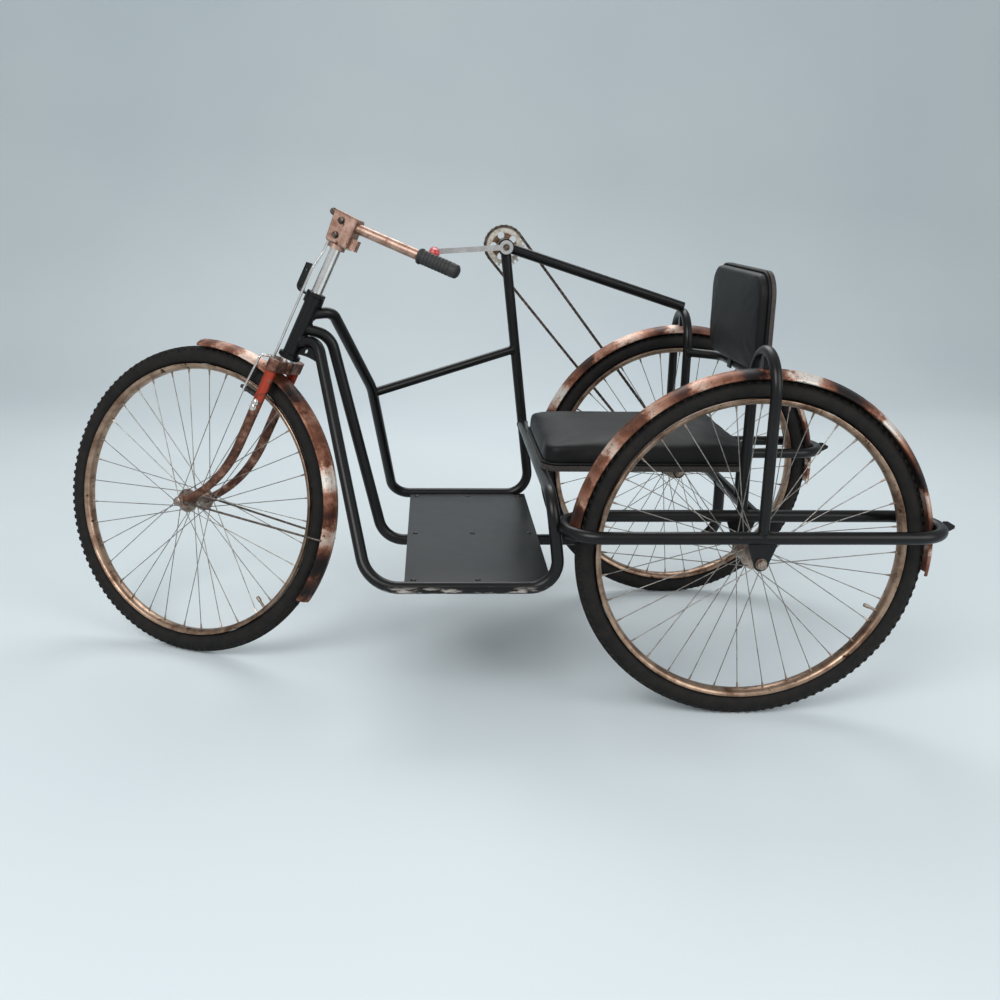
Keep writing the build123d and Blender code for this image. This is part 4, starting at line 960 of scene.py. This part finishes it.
def dress_lugs():
    """A pointed reflector lug behind each wheel loop."""
    low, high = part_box("left_wheel_loop")
    height = (low.z + high.z) / 2
    outline = [(0.004, 0, -0.012), (0.004, 0, 0.012), (-0.006, 0, 0.012), (-0.022, 0, 0.003), (-0.022, 0, -0.003)]
    outline.append((-0.006, 0, -0.012))
    lugs = []
    for side in (1, -1):
        spot = Vector((low.x, side * (low.y + high.y) / 2 - LUG_THICKNESS / 2, height))
        lug = cut_plate("lug", [Vector(point) + spot for point in outline], LUG_THICKNESS)
        apply_modifier(lug, "BEVEL", width=0.0006, segments=1)
        lugs.append(lug)
    keep(joined("loop_lugs", lugs), "frame", "black_enamel", enamel)


dress_fork()
dress_brake()
dress_lugs()


# Hand grips


def tiller_grip():
    """A rubber grip with finger rings, a flange and a rounded end."""
    section = [(0.0112, 0.0, 0), (0.0168, 0.0, 0), (0.0172, 0.0015, 0), (0.0172, 0.0045, 0), (0.0150, 0.0062, 0)]
    rings = 9
    pitch = (GRIP_LENGTH - 0.022) / rings
    for ring in range(rings):
        foot = 0.0085 + ring * pitch
        section += [(0.0140, foot, 0), (0.0155, foot + pitch * 0.28, 0), (0.0155, foot + pitch * 0.72, 0)]
    section += [(0.0150, GRIP_LENGTH - 0.011, 0), (0.0146, GRIP_LENGTH - 0.005, 0)]
    section += [(0.0110, GRIP_LENGTH - 0.0015, 0), (0.0050, GRIP_LENGTH, 0), (0.0, GRIP_LENGTH, 0)]
    piece = turn_on_lathe("tiller_hand_grip", section, 32)
    way = Vector((-TILLER_REACH, 0, TILLER_RISE)).normalized()
    start = Vector((0, 0, TILLER_HEIGHT)) + way * (TILLER_REACH - GRIP_LENGTH)
    lay = Matrix.Rotation(-pi / 2, 4, "X")
    set_down(piece, FORK @ along(start, way) @ lay.inverted())
    return keep(piece, "fork", "grip_rubber", grip, "tiller_grip")


def crank_handle():
    """A red turned handle on its pin, with a collar at the arm and a domed end."""
    low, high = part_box("crank_handle")
    crank = place_of("crank_spin")
    start_y = low.y + ARM_THICKNESS + 0.0006
    length = high.y - start_y
    section = [
        (0.0, 0.0, 0),
        (0.0118, 0.0, 0),
        (0.0126, 0.002, 0),
        (0.0126, 0.006, 0),
        (0.0104, 0.009, 0),
        (0.0112, 0.020, 0),
        (0.0134, 0.040, 0),
        (0.0140, 0.056, 0),
        (0.0136, 0.072, 0),
        (0.0122, length - 0.009, 0),
        (0.0095, length - 0.003, 0),
        (0.0048, length - 0.0004, 0),
        (0.0, length, 0),
    ]
    piece = turn_on_lathe("crank_hand_grip", section, 28)
    bend = radians(CRANK_ANGLE)
    pin = crank + CRANK_LENGTH * Vector((cos(bend), 0, sin(bend)))
    set_down(piece, Matrix.Translation((pin.x, start_y, pin.z)))
    keep(piece, "crank", "handle_red", red, "crank_handle")
    bpy.ops.object.select_all(action="DESELECT")
    bpy.ops.mesh.primitive_cylinder_add(vertices=20, radius=0.0048, depth=0.0150, rotation=(pi / 2, 0, 0))
    stub = bpy.context.object
    stub.name = "crank_handle_pin"
    select_where(stub, "FACE", lambda middle, normal: normal.z < -0.9)
    bpy.ops.mesh.inset(thickness=0.0012)
    bpy.ops.mesh.extrude_region_move(TRANSFORM_OT_translate={"value": (0, -0.0012, 0)})
    bpy.ops.object.mode_set(mode="OBJECT")
    bpy.ops.object.transform_apply(rotation=True)
    set_down(stub, Matrix.Translation((pin.x, low.y + 0.0068, pin.z)))
    return keep(stub, "crank", "hub_steel", hub_metal)


tiller_grip()
crank_handle()


# Nuts, bolts and washers


def hex_nut(across, height, bolt, stand_out):
    """A chamfered nut on a washer, standing on the XY plane, with its bolt's end showing."""
    round_bar = bpy.ops.mesh.primitive_cylinder_add
    seat = (0, 0, height / 2 + WASHER_THICKNESS)
    nut = start_from(round_bar, vertices=6, radius=across, depth=height, location=seat)
    select_where(nut, "FACE", lambda middle, normal: normal.z > 0.9)
    bpy.ops.mesh.inset(thickness=across * 0.12)
    bpy.ops.transform.translate(value=(0, 0, height * 0.08))
    bpy.ops.object.mode_set(mode="OBJECT")
    half = (0, 0, WASHER_THICKNESS / 2)
    washer = start_from(round_bar, vertices=24, radius=across * 1.18, depth=WASHER_THICKNESS, location=half)
    reach = height + stand_out
    end = start_from(round_bar, vertices=20, radius=bolt, depth=reach, location=(0, 0, reach / 2))
    select_where(end, "FACE", lambda middle, normal: normal.z > 0.9)
    bpy.ops.mesh.inset(thickness=bolt * 0.2)
    bpy.ops.transform.translate(value=(0, 0, bolt * 0.2))
    bpy.ops.object.mode_set(mode="OBJECT")
    return joined("nut", [nut, washer, end])


def fasten(name, form, places, body, slot, finish):
    """Copies of a fastener at several places, joined into one piece."""
    made = [set_down(copy_of(form, name), along(point, way)) for point, way in places]
    return keep(joined(name, made), body, slot, finish, angle=30)


def dome_head(radius, height):
    """A round bolt head standing on the XY plane."""
    head = start_from(bpy.ops.mesh.primitive_uv_sphere_add, segments=16, ring_count=8, radius=radius)
    select_where(head, "FACE", lambda middle, normal: middle.z < 0)
    bpy.ops.mesh.delete(type="FACE")
    bpy.ops.mesh.select_mode(type="EDGE")
    bpy.ops.mesh.select_all(action="SELECT")
    bpy.ops.mesh.region_to_loop()
    bpy.ops.mesh.edge_face_add()
    bpy.ops.object.mode_set(mode="OBJECT")
    head.scale = (1, 1, height / radius)
    select_only(head)
    bpy.ops.object.transform_apply(scale=True)
    return head


def dress_axles():
    """A nut on each end of every axle."""
    axle_nut = hex_nut(NUT_ACROSS, NUT_HEIGHT, AXLE_RADIUS, 0.0032)
    hub = place_of("left_wheel_spin")
    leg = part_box("axle_plates")[1].y - hub.y
    places = []
    for side in (1, -1):
        for leg_side in (1, -1):
            spot = Vector((0, side * hub.y + leg_side * leg, hub.z))
            places.append((spot, Vector((0, leg_side, 0))))
    fasten("axle_nuts", axle_nut, places, "frame", "hub_steel", hub_metal)
    front = WHEELS["front"]
    places = [(front @ Vector((0, side * FRONT_NUT_REACH, 0)), side * SIDEWAYS) for side in (1, -1)]
    fasten("front_axle_nuts", axle_nut, places, "fork", "hub_steel", hub_metal)
    bpy.data.objects.remove(axle_nut)


def dress_bolts():
    """Bolts of the loops' ends, backrest straps, tiller clamp and fork blades, and the foot board's rivets."""
    bolt = hex_nut(0.0068, 0.005, 0.0034, 0.0028)
    low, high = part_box("left_wheel_loop")
    height = (low.z + high.z) / 2
    places = []
    for side in (1, -1):
        middle = side * (low.y + high.y) / 2
        places.append((Vector((high.x, middle, height)), Vector((1, 0, 0))))
    strap_low, strap_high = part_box("back_straps")
    strap_y = strap_high.y - 0.013
    for side in (1, -1):
        for share in (0.32, 0.92):
            spot = Vector((strap_low.x, side * strap_y, strap_low.z + share * (strap_high.z - strap_low.z)))
            places.append((spot, Vector((-1, 0, 0))))
    fasten("frame_bolts", bolt, places, "frame", "black_enamel", enamel)
    places = []
    for side in (1, -1):
        for height in (CLAMP_UPPER - 0.017, CLAMP_UPPER - 0.050):
            places.append((FORK @ Vector((0.004, side * CLAMP_HALF_WIDTH, height)), side * SIDEWAYS))
        lug = Vector((CLAMP_LUG_AHEAD, side * CLAMP_HALF_WIDTH / 2, CLAMP_UPPER - 0.008))
        places.append((FORK @ lug, side * SIDEWAYS))
    fasten("clamp_bolts", bolt, places, "fork", "chain_steel", oily)
    places = []
    for side in (1, -1):
        for height in (0.281, 0.293):
            spot = Vector((0, side * (FORK_HALF_WIDTH + BLADE_WIDTH / 2 - 0.0006), height))
            places.append((FORK @ spot, side * SIDEWAYS))
    fasten("blade_bolts", bolt, places, "fork", "stem_chrome", chrome)
    bpy.data.objects.remove(bolt)
    rivet = dome_head(0.0062, 0.0028)
    board_low, board_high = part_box("foot_board")
    places = []
    for share in (0.06, 0.5, 0.94):
        for side in (0.04, 0.5, 0.96):
            spot = Vector((
                board_low.x + share * (board_high.x - board_low.x),
                board_low.y + side * (board_high.y - board_low.y),
                board_high.z,
            ))
            places.append((spot, Vector((0, 0, 1))))
    fasten("board_rivets", rivet, places, "frame", "black_enamel", enamel)
    bpy.data.objects.remove(rivet)


def dress_head():
    """A lock nut over the lamp bracket and a notched cover on the lower bearing cup."""
    nut = start_from(bpy.ops.mesh.primitive_cylinder_add, vertices=6, radius=0.0215, depth=0.009)
    select_where(nut, "FACE", lambda middle, normal: abs(normal.z) > 0.9)
    bpy.ops.mesh.inset(thickness=0.0022)
    bpy.ops.object.mode_set(mode="OBJECT")
    apply_modifier(nut, "BEVEL", width=0.0007, segments=2)
    nut.name = "head_lock_nut"
    set_down(nut, FORK @ Matrix.Translation((0, 0, HEAD_UPPER + 0.0094)))
    keep(nut, "fork", "black_enamel", enamel, angle=30)
    cover = start_from(bpy.ops.mesh.primitive_cylinder_add, vertices=48, radius=0.0236, depth=0.0085)

    def every_other_side(middle, normal):
        return abs(normal.z) < 0.1 and round(atan2(middle.y, middle.x) / (pi / 24) - 0.5) % 2

    select_where(cover, "FACE", every_other_side)
    bpy.ops.mesh.extrude_region_shrink_fatten(TRANSFORM_OT_shrink_fatten={"value": 0.0011})
    bpy.ops.object.mode_set(mode="OBJECT")
    cover.name = "lower_cup_cover"
    set_down(cover, FORK @ Matrix.Translation((0, 0, HEAD_LOWER + 0.0062)))
    keep(cover, "frame", "black_enamel", enamel, angle=30)


def dress_valves():
    """A tyre valve through each rim, between two spokes."""
    section = [(0.0, 0.0, 0), (0.0030, 0.0, 0), (0.0030, 0.018, 0), (0.0042, 0.019, 0), (0.0042, 0.029, 0)]
    section += [(0.0030, 0.031, 0), (0.0, 0.031, 0)]
    valve = turn_on_lathe("valve", section, 14)
    turn = radians(205)
    way = Vector((-cos(turn), 0, -sin(turn)))
    upright = Matrix.Rotation(pi / 2, 4, "X")
    for side, place in WHEELS.items():
        piece = copy_of(valve, f"{side}_valve")
        set_down(piece, place @ along(-way * 0.306, way) @ upright)
        keep(piece, f"{side}_wheel", "hub_steel", hub_metal)
    bpy.data.objects.remove(valve)


# Weld beads


def bead(centre, main, branch, main_radius, branch_radius):
    """The seam where one round tube is welded onto another, as a bumpy cord."""
    main = Vector(main).normalized()
    branch = Vector(branch).normalized()
    across = branch.orthogonal().normalized()
    over = branch.cross(across)
    branch_flat = branch - main * branch.dot(main)
    points = []
    for index in range(40):
        turn = 2 * pi * index / 40
        rim_point = branch_radius * (across * cos(turn) + over * sin(turn))
        flat = rim_point - main * rim_point.dot(main)
        half = flat.dot(branch_flat)
        inside = half**2 - branch_flat.length_squared * (flat.length_squared - main_radius**2)
        reach = (-half + max(inside, 0.0) ** 0.5) / branch_flat.length_squared
        points.append(Vector(centre) + rim_point + branch * reach)

    def ripple(index, spot):
        return 1.2 if index % 2 else 0.85

    return thickened(draw_ring("bead", points), WELD_RADIUS, 1, swelling=ripple)


def dress_welds():
    """Seams of the frame's main joints."""
    hub = place_of("left_wheel_spin")
    crank = place_of("crank_spin")
    low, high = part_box("left_wheel_loop")
    loop_height = (low.z + high.z) / 2
    leg = (high.y - low.y) / 2 - TUBE_RADIUS
    cross_low, cross_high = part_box("rear_cross_tube")
    cross_x = (cross_low.x + cross_high.x) / 2
    rail_low, rail_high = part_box("back_rail")
    rail_height = (rail_low.z + rail_high.z) / 2
    riser = Vector((crank.x - RISER_FOOT[0], 0, crank.z - RISER_FOOT[1]))
    seams = []
    for side in (1, -1):
        for leg_side in (1, -1):
            foot = (0, side * hub.y + leg_side * leg, loop_height)
            seams.append((foot, (1, 0, 0), (0, 0, 1), TUBE_RADIUS, HOOP_TUBE_RADIUS))
        inner = side * (hub.y - leg)
        seams.append(((cross_x, inner, loop_height), (1, 0, 0), (0, -side, 0), TUBE_RADIUS, TUBE_RADIUS))
        post_foot = (cross_x, side * SEAT_POST_SIDE, loop_height)
        seams.append((post_foot, (0, 1, 0), (0, 0, 1), TUBE_RADIUS, SEAT_POST_RADIUS))
        rail_way = (rail_low.x + HOOP_TUBE_RADIUS, -side * 0.060, 0)
        seams.append(((0, inner, rail_height), (0, 0, 1), rail_way, HOOP_TUBE_RADIUS, HOOP_TUBE_RADIUS))
    seams.append(((cross_x, 0, loop_height), (0, 1, 0), (0, 0, -1), TUBE_RADIUS, TUBE_RADIUS))
    share = (SEAT_BAR_HEIGHT - RISER_FOOT[1]) / riser.z
    seat_bar = (RISER_FOOT[0] + riser.x * share, crank.y, SEAT_BAR_HEIGHT)
    seams.append((seat_bar, riser, (0, 1, 0), TUBE_RADIUS, TUBE_RADIUS))
    share = (BRACE_REAR_HEIGHT - RISER_FOOT[1]) / riser.z
    brace_end = Vector((RISER_FOOT[0] + riser.x * share, crank.y, BRACE_REAR_HEIGHT))
    brace_low, brace_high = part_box("side_brace")
    brace_way = Vector((brace_high.x, brace_high.y, brace_low.z)) - brace_end
    seams.append((brace_end, riser, brace_way, TUBE_RADIUS, HOOP_TUBE_RADIUS))
    seams.append((crank, (0, 1, 0), -riser, SHELL_RADIUS, TUBE_RADIUS))
    for height, back, out, up in HEAD_SOCKETS:
        socket = place_of("steering") + UPRIGHT * height
        seams.append((socket, UPRIGHT, (-back, out, up), HEAD_TUBE_RADIUS, TUBE_RADIUS))
    made = [bead(*seam) for seam in seams]
    keep(joined("weld_beads", made), "frame", "black_enamel", enamel, angle=60)


dress_axles()
dress_bolts()
dress_head()
dress_valves()
dress_welds()


# Seat and backrest


def stuffed(name, low, high, axis, corner, cap):
    """A pad inflated by a cloth simulation, held flat on the side that rests on its board."""
    size = high - low
    pad = box_of(size)
    pad.name = name

    def along_thickness(first, second):
        way = second - first
        return abs(way[axis]) > 0.99 * way.length

    select_where(pad, "EDGE", along_thickness)
    bpy.ops.mesh.bevel(offset=corner, segments=8, affect="EDGES")
    bpy.ops.object.mode_set(mode="OBJECT")
    select_where(pad, "FACE", lambda middle, normal: normal[axis] > 0.9)
    bpy.ops.mesh.bevel(offset=size[axis] * 0.3, segments=5, affect="EDGES")
    bpy.ops.object.mode_set(mode="OBJECT")
    set_down(pad, Matrix.Translation((low + high) / 2))
    apply_modifier(pad, "REMESH", mode="VOXEL", voxel_size=CUSHION_VOXEL)
    inflate(pad, axis, low[axis], cap)
    apply_modifier(pad, "SMOOTH", factor=0.5, iterations=4)
    apply_modifier(pad, "SUBSURF", levels=1, render_levels=1)
    return pad


def inflate(pad, axis, floor, cap):
    """Blow a pad up with its flat side held, then ease the bulge back so that it rises no further than the cap."""
    held = pad.vertex_groups.new(name="held")
    resting = [v.index for v in pad.data.vertices if v.co[axis] < floor + CUSHION_VOXEL]
    held.add(resting, 1.0, "REPLACE")
    before = [v.co.copy() for v in pad.data.vertices]
    select_only(pad)
    bpy.ops.object.modifier_add(type="CLOTH")
    cloth = pad.modifiers[-1]
    cloth.settings.vertex_group_mass = "held"
    cloth.settings.use_pressure = True
    cloth.settings.uniform_pressure_force = 1.5
    cloth.settings.effector_weights.gravity = 0
    cloth.settings.quality = 6
    for moment in range(1, 21):
        bpy.context.scene.frame_set(moment)
    bpy.ops.object.modifier_apply(modifier=cloth.name)
    furthest = max((vertex.co - rest).length for vertex, rest in zip(pad.data.vertices, before))
    share = min(1.0, cap / furthest)
    for vertex, rest in zip(pad.data.vertices, before):
        vertex.co = rest.lerp(vertex.co, share)
    bpy.context.scene.frame_set(1)


def piping(name, low, high, axis, corner, level):
    """A welt cord round a pad's edge, at one level of its thickness."""
    size = high - low
    flat = [index for index in range(3) if index != axis]
    middle = (low + high) / 2
    outline = []
    for quarter in range(4):
        right = 1 if quarter in (0, 3) else -1
        up = 1 if quarter in (0, 1) else -1
        for turn in range(0, 91, 15):
            angle = radians(turn + 90 * quarter)
            point = Vector(middle)
            point[axis] = level
            point[flat[0]] += right * (size[flat[0]] / 2 - corner) + corner * cos(angle)
            point[flat[1]] += up * (size[flat[1]] / 2 - corner) + corner * sin(angle)
            outline.append(point)
    return thickened(draw_ring(name, outline), PIPING_RADIUS, 2)


def dress_seat():
    """The seat cushion and the backrest pad, each with piping round its edges."""
    low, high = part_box("seat_cushion")
    inset = Vector((0.006, 0.006, 0))
    crown = Vector((0, 0, 0.012))
    cushion = stuffed("seat_pad", low + inset, high - inset - crown, 2, 0.036, CUSHION_CAP)
    keep(cushion, "frame", "black_vinyl", vinyl, "seat_cushion", angle=60)
    welt = piping("seat_piping", low + inset * 0.6, high - inset * 0.6, 2, 0.038, low.z + PIPING_RADIUS)
    keep(welt, "frame", "black_vinyl", vinyl)
    low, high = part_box("backrest_pad")
    inset = Vector((0, 0.005, 0.005))
    crown = Vector((0.007, 0, 0))
    pad = stuffed("backrest_cushion", low + inset, high - inset - crown, 0, 0.05, PAD_CAP)
    keep(pad, "frame", "black_vinyl", vinyl, "backrest_pad", angle=60)
    welt = piping("backrest_piping", low + inset * 0.6, high - inset * 0.6, 0, 0.052, low.x + PIPING_RADIUS)
    keep(welt, "frame", "black_vinyl", vinyl)


dress_seat()


# Floor, light and camera


def studio():
    """A pale floor that curves up behind, soft lamps and an even sky."""
    pale = Finish("studio_paper", (0.60, 0.66, 0.68), 0.9)
    tone = pale.noise(0.6, 2)
    pale.feed(pale.ramp(tone, (0.3, (0.57, 0.635, 0.66)), (0.7, (0.63, 0.685, 0.70))), "Base Color")
    sweep = [(0, 9, 0), (0, -3.2, 0)]
    sweep += [(0, -3.2 - 2 * sin(radians(turn)), 2 - 2 * cos(radians(turn))) for turn in range(10, 91, 10)]
    sweep.append((0, -5.2, 9))
    paper = draw("paper", [Vector(point) + Vector((-14, 0, 0)) for point in sweep])
    bpy.ops.mesh.select_all(action="SELECT")
    bpy.ops.mesh.extrude_region_move(TRANSFORM_OT_translate={"value": (30, 0, 0)})
    bpy.ops.mesh.select_all(action="SELECT")
    bpy.ops.mesh.normals_make_consistent(inside=True)
    bpy.ops.object.mode_set(mode="OBJECT")
    bpy.ops.object.shade_smooth()
    paper.data.materials.append(pale.material)
    target = Vector((0.55, 0, 0.45))
    for name, spot, size, power in (
        ("key_lamp", (2.6, 3.4, 3.6), 2.6, 150),
        ("fill_lamp", (-2.6, 3.0, 2.4), 3.0, 80),
        ("back_lamp", (0.2, -2.6, 3.4), 2.4, 70),
    ):
        bpy.ops.object.light_add(type="AREA", location=spot)
        lamp = bpy.context.object
        lamp.name = name
        lamp.data.size = size
        lamp.data.energy = power
        lamp.rotation_euler = (target - Vector(spot)).to_track_quat("-Z", "Y").to_euler()
    world = bpy.data.worlds.new("even_sky")
    bpy.context.scene.world = world
    world.use_nodes = True
    sky = world.node_tree.nodes["Background"]
    sky.inputs["Color"].default_value = (0.92, 0.96, 1.0, 1)
    sky.inputs["Strength"].default_value = 0.5


def camera():
    """The photograph's viewpoint: from the left, a little above the crank."""
    yaw, pitch, roll = radians(-92.5), radians(-16.0), radians(0.8)
    way = Vector((cos(pitch) * cos(yaw), cos(pitch) * sin(yaw), sin(pitch)))
    bpy.ops.object.camera_add(location=(0.648, 2.367, 1.042))
    eye = bpy.context.object
    eye.matrix_world = (
        Matrix.Translation(eye.location)
        @ way.to_track_quat("-Z", "Y").to_matrix().to_4x4()
        @ Matrix.Rotation(roll, 4, "Z")
    )
    eye.data.sensor_width = 36
    eye.data.lens = 38.0
    eye.data.shift_x = 0.025
    bpy.context.scene.camera = eye


studio()
camera()
bpy.context.scene.view_settings.view_transform = "Standard"
